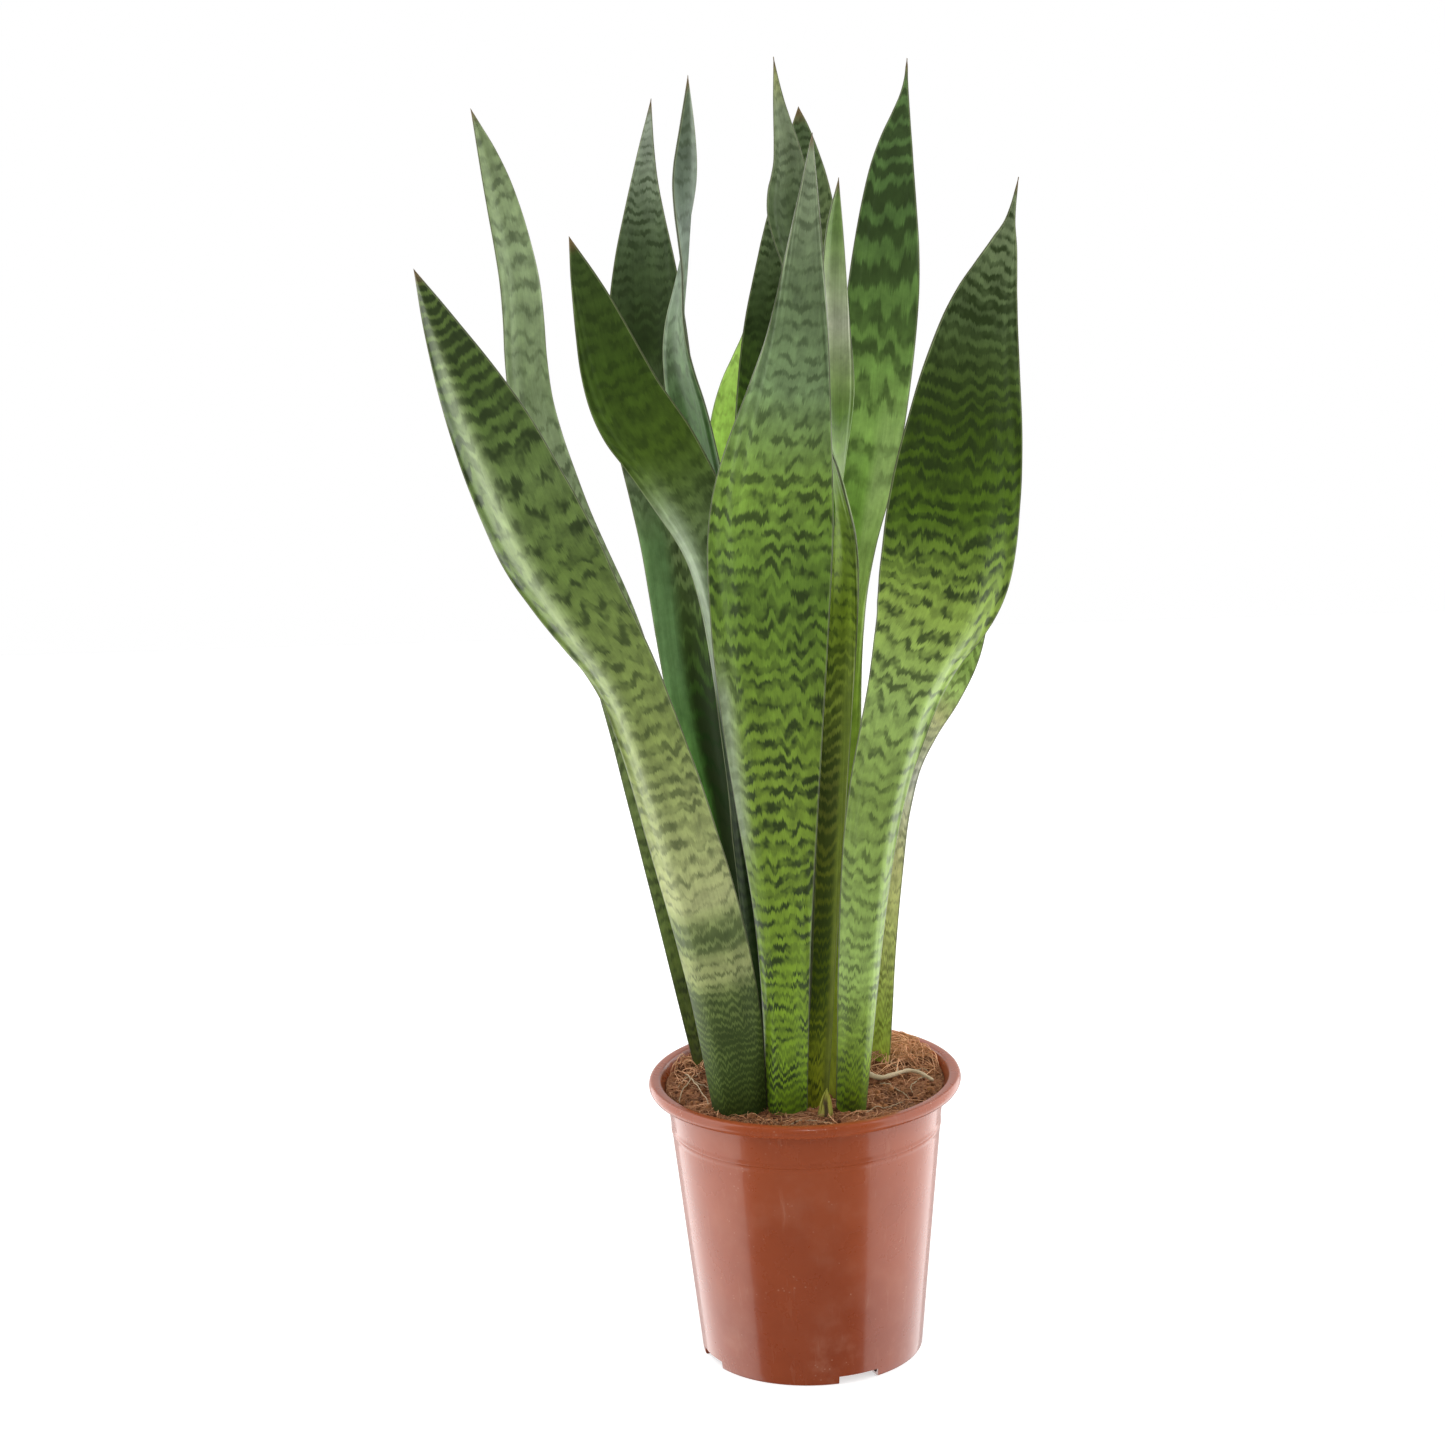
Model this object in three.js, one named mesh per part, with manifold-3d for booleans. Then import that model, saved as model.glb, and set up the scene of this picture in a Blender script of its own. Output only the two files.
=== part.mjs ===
// A snake plant in a round nursery pot. Lengths are millimetres, Z is up and -Y is the front.
// The origin is on the pot's axis at the plane the pot stands on.
import * as THREE from "three";
import { mergeVertices } from "three/addons/utils/BufferGeometryUtils.js";
import Module from "manifold-3d";

// ---- Pot: one moulding with a rolled lip, a collar, a tapered wall and a corrugated floor ----
const RIM_RADIUS = 85;
const RIM_HEIGHT = 157;
const LIP_DROP = 7;
const LIP_INNER_RADIUS = 77.5;
const COLLAR_TOP_RADIUS = 75.5;
const BEAD_HEIGHT = 130;
const BEAD_RADIUS = 73.6;
const FOOT_RADIUS = 60.3;
const WALL = 1.4;
const POT_SEGMENTS = 48;
const PAD_RADIUS = 34;
const CHANNEL_INNER = 36.5;
const CHANNEL_OUTER = 49.5;
const CHANNEL_LIFT = 5;
const TREAD_INNER = 52;
const DRAIN_HOLE_RADIUS = 4;
const DRAIN_HOLE_CIRCLE = 43;
const DRAIN_HOLES = 8;
const NOTCHES = 4;
const NOTCH_FIRST_DEG = 24;
const NOTCH_WIDTH = 23;
const NOTCH_HEIGHT = 4.5;

// ---- Soil ----
const SOIL_TOP_MIDDLE = 152.5;
const SOIL_TOP_EDGE = 151;
const SOIL_BOTTOM = 7;
const GAP = 0.3;
const FOOT_DEPTH = 9;

// ---- Leaf blade sections ----
const STEPS_BETWEEN_STATIONS = 3;
const BASE_THICKNESS = 5;
const MIDDLE_THICKNESS = 2.8;
const TIP_THICKNESS = 1.4;
const BASE_CUP = 0.26;

// ---- Materials ----
const LEAF_COLOUR = 0x567a34;
const LEAF_ROUGHNESS = 0.42;
const POT_COLOUR = 0x92462d;
const POT_ROUGHNESS = 0.35;
const SOIL_COLOUR = 0x5a3a28;
const SOIL_ROUGHNESS = 0.95;
const ROOT_COLOUR = 0xb9a58a;
const ROOT_ROUGHNESS = 0.8;
const SHEATH_COLOUR = 0xa7a56a;
const SHEATH_ROUGHNESS = 0.7;

// Each station, from the soil to the tip, holds the middle of the blade (x, y, z), the blade's width,
// and the way its rounded outer face looks, in degrees from the front and positive to the right.
// cup is how deep the blade's channel is as a share of its width. keel is where its ridge runs,
// from -1 at the left margin to 1 at the right margin.
const LEAVES = [
  {
    name: "leaf_front_left",
    cup: 0.15,
    keel: -0.3,
    stations: [
      [-35, -44, 146, 29, -8],
      [-42, -51, 218, 37, -10],
      [-57.5, -61, 298, 39, -12],
      [-81.5, -73, 389, 35.5, -14],
      [-106, -81, 439, 46.5, -14],
      [-124.5, -87, 477, 53.5, -14],
      [-148, -96, 538, 42.5, -12],
      [-166.5, -104, 586, 20.5, -8],
      [-179.5, -110, 621, 0, -8],
    ],
  },
  {
    name: "leaf_rear_left",
    cup: 0.13,
    keel: 0.1,
    stations: [
      [-52, 28, 146, 16, -160],
      [-74, 49, 271, 27, -160],
      [-94.5, 69, 374, 34, -160],
      [-120.5, 86, 449, 28.5, -158],
      [-138, 100, 513, 25.5, -156],
      [-142, 114, 576, 23.5, -156],
      [-153, 126, 630, 15.5, -156],
      [-165, 135, 668, 0, -152],
    ],
  },
  {
    name: "leaf_left_folded",
    cup: 0.17,
    keel: -0.45,
    stations: [
      [-16, -6, 146, 17, -12],
      [-21, -12, 260, 25, -15],
      [-27, -20, 362, 29, -20],
      [-37, -26, 445, 35, -24],
      [-60.5, -31, 499, 43, -20],
      [-81.5, -34, 537, 41, -12],
      [-96.5, -39, 590, 20, -8],
      [-106, -42, 624, 0, -8],
    ],
  },
  {
    name: "leaf_rear_dark",
    cup: 0.12,
    keel: 0,
    stations: [
      [-31, 28, 146, 17, 170],
      [-37, 36, 262, 22, 172],
      [-51.5, 46, 356, 32, 175],
      [-59.5, 56, 443, 40.5, 178],
      [-70, 66, 517, 46.5, 180],
      [-72, 74, 576, 37.5, 180],
      [-70.5, 82, 633, 14.5, 180],
      [-65.5, 88, 676, 0, 180],
    ],
  },
  {
    name: "leaf_slender_twisted",
    cup: 0.16,
    keel: 0.15,
    stations: [
      [-16, 9, 146, 15, 150],
      [-20, 14, 280, 18, 150],
      [-29, 19, 407, 22, 155],
      [-46.5, 24, 503, 25, 150],
      [-54.5, 27, 552, 21, 130],
      [-50.5, 29, 594, 16, 96],
      [-47.5, 31, 637, 17, 44],
      [-45.5, 32, 666, 10, 36],
      [-44.5, 34, 694, 0, 45],
    ],
  },
  {
    name: "leaf_front_centre",
    cup: 0.13,
    keel: -0.35,
    stations: [
      [-10, -47, 147, 21, -4],
      [-9, -51, 250, 29, -5],
      [-11, -57, 350, 49, -5],
      [-11, -62, 426, 61.5, -3],
      [-7, -67, 490, 61.5, 0],
      [7, -74, 568, 33.5, 4],
      [14, -80, 633, 14, 6],
      [18, -84, 678, 0, 6],
    ],
  },
  {
    name: "leaf_rear_bright",
    cup: 0.11,
    keel: 0.1,
    stations: [
      [-17, 49, 146, 16, 176],
      [-21, 63, 259, 26, 176],
      [-22, 79, 346, 38.5, 178],
      [-22.5, 96, 432, 47, 180],
      [-18.5, 110, 497, 43, 180],
      [-13.5, 120, 538, 19.5, 180],
      [-15.5, 125, 560, 0, 180],
    ],
  },
  {
    name: "leaf_rear_tall",
    cup: 0.15,
    keel: -0.1,
    stations: [
      [-2, 20, 146, 15, 176],
      [7, 16, 329, 20, 178],
      [16, 13, 472, 22, 180],
      [14, 11, 579, 21, 184],
      [6, 10, 625, 24, 186],
      [6, 9, 651, 16, 186],
      [2, 8, 682, 6, 184],
      [0, 8, 705, 0, 184],
    ],
  },
  {
    name: "leaf_rear_olive",
    cup: 0.12,
    keel: 0,
    stations: [
      [-14, 31, 146, 14, 178],
      [-14, 37, 268, 22, 178],
      [-12, 43, 367, 32, 178],
      [-7, 51, 475, 42.5, 180],
      [-3, 57, 544, 38.5, 180],
      [0, 61, 591, 24.5, 180],
      [0, 63, 615, 12, 180],
      [-1, 64, 631, 0, 180],
    ],
  },
  {
    name: "leaf_rear_hidden",
    cup: 0.12,
    keel: 0,
    stations: [
      [6, 40, 146, 15, 182],
      [10, 59, 351, 27, 182],
      [14, 77, 486, 34.5, 180],
      [15.5, 89, 566, 35.5, 178],
      [15.5, 96, 616, 28.5, 176],
      [13.5, 101, 650, 13.5, 176],
      [12.5, 104, 667, 0, 176],
    ],
  },
  {
    name: "leaf_narrow_twisted",
    cup: 0.2,
    keel: 0.2,
    stations: [
      [6, -38, 146, 13, 20],
      [18, -39, 306, 16, 20],
      [25, -39, 401, 17, 0],
      [28, -39, 453, 16, -38],
      [27, -39, 489, 18, -84],
      [25, -40, 529, 24, -136],
      [26, -40, 577, 17, -156],
      [28, -40, 623, 9, -162],
      [31, -40, 649, 0, -150],
    ],
  },
  {
    name: "leaf_right_tall",
    cup: 0.13,
    keel: 0.2,
    stations: [
      [14, -26, 146, 15, 164],
      [24, -14, 304, 20, 166],
      [29, -2, 420, 23, 168],
      [43.5, 8, 504, 35.5, 172],
      [53.5, 18, 581, 37.5, 176],
      [59.5, 26, 642, 23.5, 178],
      [67, 31, 680, 5, 178],
      [69, 34, 699, 0, 178],
    ],
  },
  {
    name: "leaf_front_right",
    cup: 0.15,
    keel: 0.4,
    stations: [
      [24, -46, 147, 16, 6],
      [37.5, -64, 302, 28, 8],
      [58.5, -78, 391, 40.5, 12],
      [78.5, -87, 446, 68, 12],
      [87, -99, 510, 65, 10],
      [97, -113, 582, 40, 8],
      [108, -120, 621, 16.5, 6],
      [112.5, -124, 638, 5, 6],
      [116.5, -128, 659, 0, 6],
    ],
  },
  {
    name: "leaf_rear_right",
    cup: 0.14,
    keel: 0,
    stations: [
      [40, 23, 146, 16, 150],
      [45.5, 34, 244, 24, 150],
      [53.5, 43, 320, 35.5, 152],
      [80, 51, 384, 51, 155],
      [100, 60, 458, 27.5, 160],
      [109.5, 66, 501, 0, 160],
    ],
  },
];
const SHEATH = {
  name: "basal_sheath",
  cup: 0.22,
  keel: 0,
  stations: [
    [10, -54.5, 146, 9, 6],
    [10.5, -55, 154, 8, 6],
    [11, -55, 162, 5, 6],
    [11.5, -54.5, 168, 0, 6],
  ],
};

// A thick root lies across the soil on the right and a thinner one leaves it.
const ROOT_RADIUS = 1.5;
const ROOT_PATH = [
  [34, 5, 154.6],
  [40, -4, 154.4],
  [49, -1, 155.2],
  [58, 4, 155.4],
  [65, -2, 154.6],
  [69.5, -9, 153.2],
];

const wasm = await Module();
wasm.setup();

// Turns a geometry into a solid that can be joined or cut.
function toSolid(geometry) {
  const bare = geometry.clone();
  bare.deleteAttribute("normal");
  bare.deleteAttribute("uv");
  const merged = mergeVertices(bare, 1e-4);
  return new wasm.Manifold(
    new wasm.Mesh({
      numProp: 3,
      vertProperties: new Float32Array(merged.attributes.position.array),
      triVerts: new Uint32Array(merged.index.array),
    }),
  );
}

// Turns a solid back into a geometry.
function toGeometry(solid) {
  const mesh = solid.getMesh();
  const geometry = new THREE.BufferGeometry();
  geometry.setAttribute("position", new THREE.BufferAttribute(new Float32Array(mesh.vertProperties), 3));
  geometry.setIndex(new THREE.BufferAttribute(new Uint32Array(mesh.triVerts), 1));
  geometry.computeVertexNormals();
  return geometry;
}

// A profile of [radius, height] pairs turned round Z.
function turned(profile, segments) {
  const points = profile.map(([r, z]) => new THREE.Vector2(r, z));
  const geometry = new THREE.LatheGeometry(points, segments);
  geometry.rotateX(Math.PI / 2);
  return geometry;
}

// A smooth curve through four neighbouring values, read between the middle two.
function between(values, index, f) {
  const last = values.length - 1;
  const p0 = values[Math.max(index - 1, 0)];
  const p1 = values[index];
  const p2 = values[Math.min(index + 1, last)];
  const p3 = values[Math.min(index + 2, last)];
  const a = 2 * p1;
  const b = p2 - p0;
  const c = 2 * p0 - 5 * p1 + 4 * p2 - p3;
  const d = -p0 + 3 * p1 - 3 * p2 + p3;
  return 0.5 * (a + b * f + c * f * f + d * f * f * f);
}

// The height of the channelled section at u, which runs from -1 to 1 across the blade.
function ridge(u, keel) {
  const side = u < keel ? 1 + keel : 1 - keel;
  return 1 - Math.pow(Math.abs(u - keel) / side, 1.6);
}

// A closed outline moved outward by a distance, corner by corner.
function widened(outline, distance) {
  const count = outline.length;
  return outline.map((p, i) => {
    const into = new THREE.Vector2().subVectors(p, outline[(i + count - 1) % count]).normalize();
    const out = new THREE.Vector2().subVectors(outline[(i + 1) % count], p).normalize();
    const normalIn = new THREE.Vector2(-into.y, into.x);
    const normalOut = new THREE.Vector2(-out.y, out.x);
    const corner = new THREE.Vector2().addVectors(normalIn, normalOut).normalize();
    const reach = distance / Math.max(corner.dot(normalIn), 0.35);
    return new THREE.Vector2().addVectors(p, corner.multiplyScalar(reach));
  });
}

// One leaf: rings across the blade from a foot in the soil up to a point at the tip.
// grow widens it for cutting its seat in the soil, and then only the foot is made.
function blade(leaf, grow = 0) {
  const rows = leaf.stations;
  const columns = [0, 1, 2, 3, 4].map((k) => rows.map((row) => row[k]));
  const k = leaf.keel;
  const across = [-1, k - 0.55 * (1 + k), k, k + 0.35 * (1 - k), k + 0.7 * (1 - k), 1];
  const ringSize = 2 * across.length - 2;
  const stationAt = (t) => {
    const index = Math.min(Math.floor(t), rows.length - 2);
    return columns.map((column) => between(column, index, t - index));
  };
  const steps = grow > 0 ? STEPS_BETWEEN_STATIONS + 1 : (rows.length - 1) * STEPS_BETWEEN_STATIONS;
  const points = [];
  for (let i = 0; i < steps; i += 1) {
    const t = i / STEPS_BETWEEN_STATIONS;
    const [x, y, z, width, turn] = stationAt(t);
    const ahead = stationAt(Math.min(t + 0.05, rows.length - 1));
    const behind = stationAt(Math.max(t - 0.05, 0));
    const tangent = new THREE.Vector3(ahead[0] - behind[0], ahead[1] - behind[1], ahead[2] - behind[2]);
    tangent.normalize();
    const angle = THREE.MathUtils.degToRad(turn);
    const looks = new THREE.Vector3(Math.sin(angle), -Math.cos(angle), 0);
    const side = new THREE.Vector3().crossVectors(tangent, looks).normalize();
    const face = new THREE.Vector3().crossVectors(side, tangent);
    const share = t / (rows.length - 1);
    const low = THREE.MathUtils.smoothstep(share, 0.02, 0.5);
    const high = THREE.MathUtils.smoothstep(share, 0.5, 1);
    const cup = THREE.MathUtils.lerp(BASE_CUP, leaf.cup, low);
    const thick = THREE.MathUtils.lerp(THREE.MathUtils.lerp(BASE_THICKNESS, MIDDLE_THICKNESS, low), TIP_THICKNESS, high);
    const half = Math.max(width, 1.2) / 2;
    const limit = Math.min(thick, half * 0.9);
    const outline = [...across.map((u) => [u, 1]), ...across.slice(1, -1).reverse().map((u) => [u, -1])].map(
      ([u, outer]) =>
        new THREE.Vector2(u * half, cup * 2 * half * (ridge(u, k) - 0.5) + outer * 0.5 * limit * (1 - u * u)),
    );
    const ring = widened(outline, grow).map((p) =>
      new THREE.Vector3(x, y, z).addScaledVector(side, p.x).addScaledVector(face, p.y),
    );
    if (i === 0) ring.forEach((p) => points.push(p.clone().setZ(p.z - FOOT_DEPTH - grow)));
    ring.forEach((p) => points.push(p));
  }
  const ringTotal = steps + 1;
  const triangles = [];
  for (let i = 0; i + 1 < ringTotal; i += 1) {
    for (let j = 0; j < ringSize; j += 1) {
      const next = (j + 1) % ringSize;
      const a = i * ringSize + j;
      const b = i * ringSize + next;
      const c = a + ringSize;
      const d = b + ringSize;
      triangles.push(a, b, d, a, d, c);
    }
  }
  const cap = (start, facingUp, middle) => {
    const centre = points.length;
    points.push(middle);
    for (let j = 0; j < ringSize; j += 1) {
      const a = start + j;
      const b = start + ((j + 1) % ringSize);
      triangles.push(centre, facingUp ? a : b, facingUp ? b : a);
    }
  };
  const middleOf = (start) => {
    const front = points[start + 2];
    const back = points[start + ringSize - 2];
    return new THREE.Vector3().addVectors(front, back).multiplyScalar(0.5);
  };
  cap(0, false, middleOf(0));
  const lastRing = (ringTotal - 1) * ringSize;
  const tip = rows[rows.length - 1];
  cap(lastRing, true, grow > 0 ? middleOf(lastRing) : new THREE.Vector3(tip[0], tip[1], tip[2]));
  const geometry = new THREE.BufferGeometry();
  geometry.setAttribute(
    "position",
    new THREE.Float32BufferAttribute(
      points.flatMap((p) => [p.x, p.y, p.z]),
      3,
    ),
  );
  geometry.setIndex(triangles);
  geometry.computeVertexNormals();
  return geometry;
}

function named(name, geometry, colour, roughness) {
  const material = new THREE.MeshStandardMaterial({ color: colour, roughness, metalness: 0 });
  const mesh = new THREE.Mesh(geometry, material);
  mesh.name = name;
  return mesh;
}

// ---- The pot ----
const slopeAt = (z) => THREE.MathUtils.lerp(FOOT_RADIUS, BEAD_RADIUS - 1, z / (BEAD_HEIGHT - 3));
const potProfile = [
  [0, 0],
  [PAD_RADIUS, 0],
  [CHANNEL_INNER, CHANNEL_LIFT],
  [CHANNEL_OUTER, CHANNEL_LIFT],
  [TREAD_INNER, 0],
  [FOOT_RADIUS - 0.8, 0],
  [FOOT_RADIUS, 1],
  [slopeAt(BEAD_HEIGHT - 3), BEAD_HEIGHT - 3],
  [BEAD_RADIUS, BEAD_HEIGHT - 1.2],
  [BEAD_RADIUS, BEAD_HEIGHT + 1.2],
  [BEAD_RADIUS - 0.2, BEAD_HEIGHT + 2.4],
  [COLLAR_TOP_RADIUS, RIM_HEIGHT - LIP_DROP - 1],
  [COLLAR_TOP_RADIUS + 2.5, RIM_HEIGHT - LIP_DROP],
  [RIM_RADIUS - 2.4, RIM_HEIGHT - LIP_DROP + 0.4],
  [RIM_RADIUS - 0.7, RIM_HEIGHT - LIP_DROP + 1.6],
  [RIM_RADIUS, RIM_HEIGHT - LIP_DROP / 2],
  [RIM_RADIUS - 0.7, RIM_HEIGHT - 1.6],
  [RIM_RADIUS - 2.4, RIM_HEIGHT - 0.4],
  [RIM_RADIUS - 4.2, RIM_HEIGHT],
  [LIP_INNER_RADIUS + 1, RIM_HEIGHT - 0.8],
  [LIP_INNER_RADIUS - 0.4, RIM_HEIGHT - 2.6],
  [COLLAR_TOP_RADIUS - WALL, RIM_HEIGHT - LIP_DROP - 1],
  [BEAD_RADIUS - 0.2 - WALL, BEAD_HEIGHT + 2],
  [slopeAt(BEAD_HEIGHT - 3) - WALL, BEAD_HEIGHT - 3],
  [FOOT_RADIUS + 0.2 - WALL, WALL + 0.6],
  [FOOT_RADIUS - 1 - WALL, WALL],
  [TREAD_INNER + 0.9, WALL],
  [CHANNEL_OUTER + 0.9, CHANNEL_LIFT + WALL],
  [CHANNEL_INNER - 0.9, CHANNEL_LIFT + WALL],
  [PAD_RADIUS - 0.9, WALL],
  [0, WALL],
];
let potSolid = toSolid(turned(potProfile, POT_SEGMENTS));
for (let i = 0; i < DRAIN_HOLES; i += 1) {
  const angle = ((i + 0.5) / DRAIN_HOLES) * 2 * Math.PI;
  const drill = new THREE.CylinderGeometry(DRAIN_HOLE_RADIUS, DRAIN_HOLE_RADIUS, 6, 16);
  drill.rotateX(Math.PI / 2);
  drill.translate(
    DRAIN_HOLE_CIRCLE * Math.cos(angle),
    DRAIN_HOLE_CIRCLE * Math.sin(angle),
    CHANNEL_LIFT + WALL / 2,
  );
  potSolid = potSolid.subtract(toSolid(drill));
}
const notchDepth = FOOT_RADIUS + 2 - CHANNEL_OUTER;
for (let i = 0; i < NOTCHES; i += 1) {
  const cutter = new THREE.BoxGeometry(NOTCH_WIDTH, notchDepth, NOTCH_HEIGHT + 2);
  cutter.translate(0, -(CHANNEL_OUTER + notchDepth / 2), NOTCH_HEIGHT / 2 - 1);
  cutter.rotateZ(THREE.MathUtils.degToRad(NOTCH_FIRST_DEG + (i * 360) / NOTCHES));
  potSolid = potSolid.subtract(toSolid(cutter));
}

// ---- The soil, seated in the pot and cut where every leaf stands in it ----
const innerAt = (z) => slopeAt(z) - WALL - GAP;
const soilProfile = [
  [0, SOIL_BOTTOM],
  [innerAt(SOIL_BOTTOM), SOIL_BOTTOM],
  [innerAt(BEAD_HEIGHT - 3), BEAD_HEIGHT - 3],
  [BEAD_RADIUS - 0.2 - WALL - GAP, BEAD_HEIGHT + 2],
  [COLLAR_TOP_RADIUS - WALL - GAP, RIM_HEIGHT - LIP_DROP - 1],
  [COLLAR_TOP_RADIUS - 3, SOIL_TOP_EDGE],
  [52, SOIL_TOP_EDGE + 0.6],
  [34, SOIL_TOP_EDGE + 1.2],
  [16, SOIL_TOP_MIDDLE - 0.2],
  [0, SOIL_TOP_MIDDLE],
];
let soilSolid = toSolid(turned(soilProfile, 48));
[...LEAVES, SHEATH].forEach((leaf) => {
  soilSolid = soilSolid.subtract(toSolid(blade(leaf, GAP)));
});

// ---- The root that shows on the soil ----
function rootTube(path, radius, steps) {
  const curve = new THREE.CatmullRomCurve3(path.map(([x, y, z]) => new THREE.Vector3(x, y, z)));
  const outline = new THREE.Shape();
  outline.absarc(0, 0, radius, 0, 2 * Math.PI, false);
  return new THREE.ExtrudeGeometry(outline, { steps, curveSegments: 4, extrudePath: curve, bevelEnabled: false });
}

const plant = new THREE.Group();
plant.name = "potted_snake_plant";
plant.add(named("pot", toGeometry(potSolid), POT_COLOUR, POT_ROUGHNESS));
plant.add(named("soil", toGeometry(soilSolid), SOIL_COLOUR, SOIL_ROUGHNESS));
LEAVES.forEach((leaf) => plant.add(named(leaf.name, blade(leaf), LEAF_COLOUR, LEAF_ROUGHNESS)));
plant.add(named(SHEATH.name, blade(SHEATH), SHEATH_COLOUR, SHEATH_ROUGHNESS));
plant.add(named("surface_root", rootTube(ROOT_PATH, ROOT_RADIUS, 24), ROOT_COLOUR, ROOT_ROUGHNESS));

export default plant;
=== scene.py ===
# %% [markdown]
# # A snake plant in a nursery pot
#
# The imported CAD model is the frame: it says where every leaf, the soil and the pot are. This lesson
# puts a finer surface over each of its solids and gives each surface a finish. First the frame is
# loaded.

# %% Load the imported frame
import math

import bpy
import numpy as np
from mathutils import Matrix, Vector


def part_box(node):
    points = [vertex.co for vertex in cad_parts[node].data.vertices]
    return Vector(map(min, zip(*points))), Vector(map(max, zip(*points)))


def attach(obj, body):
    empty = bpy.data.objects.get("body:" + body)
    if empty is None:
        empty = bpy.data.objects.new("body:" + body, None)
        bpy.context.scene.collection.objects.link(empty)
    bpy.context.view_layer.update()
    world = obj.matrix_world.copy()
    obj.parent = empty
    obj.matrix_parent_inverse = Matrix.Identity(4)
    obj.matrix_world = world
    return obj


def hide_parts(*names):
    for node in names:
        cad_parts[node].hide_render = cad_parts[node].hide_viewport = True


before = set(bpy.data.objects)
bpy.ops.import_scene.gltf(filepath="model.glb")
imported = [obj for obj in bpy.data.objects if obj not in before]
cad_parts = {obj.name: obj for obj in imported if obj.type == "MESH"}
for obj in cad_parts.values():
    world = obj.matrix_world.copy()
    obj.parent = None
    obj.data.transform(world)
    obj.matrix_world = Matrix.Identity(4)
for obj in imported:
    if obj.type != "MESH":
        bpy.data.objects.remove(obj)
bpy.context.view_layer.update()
print("CAD nodes:", sorted(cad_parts))

MM = 0.001

def add_object(name, data):
    """A new object in the scene that shows this mesh, light or camera."""
    made = bpy.data.objects.new(name, data)
    bpy.context.scene.collection.objects.link(made)
    return made


# %% [markdown]
# ## The camera
#
# The plant is seen from in front and a little above, through a long lens, with the camera turned a
# touch to the left and tilted a couple of degrees. A camera looks along its own -Z, so its rotation
# is written as three columns: its right, its up, and the opposite of the way it looks.

# %% Camera
CAMERA_PLACE = (0.0, -2.2, 0.9581)
CAMERA_PITCH = math.radians(15.316)
CAMERA_YAW = math.radians(-0.985)
CAMERA_ROLL = math.radians(-2.021)
LENS_MM = 107.15


def camera_axes(pitch, yaw, roll):
    """Right, up and forward: forward dips by pitch and turns by yaw, and roll turns the others about it."""
    level_part = math.cos(pitch)
    forward = np.array([math.sin(yaw) * level_part, math.cos(yaw) * level_part, -math.sin(pitch)])
    level = np.array([math.cos(yaw), -math.sin(yaw), 0.0])
    above = np.cross(level, forward)
    right = math.cos(roll) * level + math.sin(roll) * above
    up = -math.sin(roll) * level + math.cos(roll) * above
    return right, up, forward


right, up, forward = camera_axes(CAMERA_PITCH, CAMERA_YAW, CAMERA_ROLL)
camera = add_object("camera", bpy.data.cameras.new("camera"))
camera.data.lens = LENS_MM
camera.data.sensor_width = 36.0
turn = Matrix(np.stack([right, up, -forward], 1).tolist())
camera.matrix_world = Matrix.Translation(CAMERA_PLACE) @ turn.to_4x4()
bpy.context.scene.camera = camera
print("camera looks along", forward.round(3))

# %% [markdown]
# ## Surfaces from numbers
#
# Every new piece is a grid of points worked out with numpy: rows run along the piece and columns run
# round it. Two small helpers turn such a grid into faces and a mesh, and a third reads a smooth curve
# through a few measured rows. A fourth adds up slow waves, which stands in for the unevenness of
# things that grow.


# %% Grid and mesh helpers
def ring_faces(rows, columns, first=0):
    """Quads between neighbouring rings: point (i, j) joins (i, j+1), (i+1, j+1) and (i+1, j)."""
    i = np.arange(rows - 1)[:, None]
    j = np.arange(columns)[None]
    a = first + i * columns + j
    b = first + i * columns + (j + 1) % columns
    return np.stack([a, b, b + columns, a + columns], -1).reshape(-1, 4)


def fan_faces(ring, middle, turned=False):
    """Triangles from a middle point to each side of a ring of point numbers."""
    ahead = np.roll(ring, -1)
    pair = (ahead, ring) if turned else (ring, ahead)
    return np.stack([np.full(len(ring), middle), *pair], -1)


def make_piece(name, points, quads, triangles, values=None, flat=False):
    """A mesh object at the origin from points and faces, with a number or a colour for each point."""
    mesh = bpy.data.meshes.new(name)
    mesh.from_pydata(points.reshape(-1, 3).tolist(), [], quads.tolist() + triangles.tolist())
    for key, data in (values or {}).items():
        data = np.asarray(data, np.float32)
        if data.ndim == 2:
            opaque = np.hstack([data, np.ones((len(data), 1), np.float32)])
            mesh.attributes.new(key, "FLOAT_COLOR", "POINT").data.foreach_set("color", opaque.ravel())
        else:
            mesh.attributes.new(key, "FLOAT", "POINT").data.foreach_set("value", data)
    if not flat:
        mesh.shade_smooth()
    mesh.validate()
    return add_object(name, mesh)


def closed_tube(name, rings, ends, values=None):
    """Rings of points, shaped (row, column, xyz), joined by quads and closed by a fan to each end point."""
    rows, columns = rings.shape[:2]
    ring = np.arange(columns)
    count = rows * columns
    triangles = np.vstack([fan_faces(ring, count, True), fan_faces(ring + count - columns, count + 1)])
    points = np.vstack([rings.reshape(-1, 3), ends])
    return make_piece(name, points, ring_faces(rows, columns), triangles, values)


def smooth_read(rows, places):
    """A smooth curve through rows, read at fractional row numbers: Catmull and Rom's cubic of four rows."""
    rows = np.asarray(rows, float)
    last = len(rows) - 1
    i = np.clip(np.floor(places).astype(int), 0, last - 1)
    f = (places - i).reshape(-1, *[1] * (rows.ndim - 1))
    p0, p1, p2, p3 = (rows[np.clip(i + k, 0, last)] for k in (-1, 0, 1, 2))
    square, cube = 2 * p0 - 5 * p1 + 4 * p2 - p3, 3 * p1 - p0 - 3 * p2 + p3
    return 0.5 * (2 * p1 + (p2 - p0) * f + square * f**2 + cube * f**3)


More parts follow.
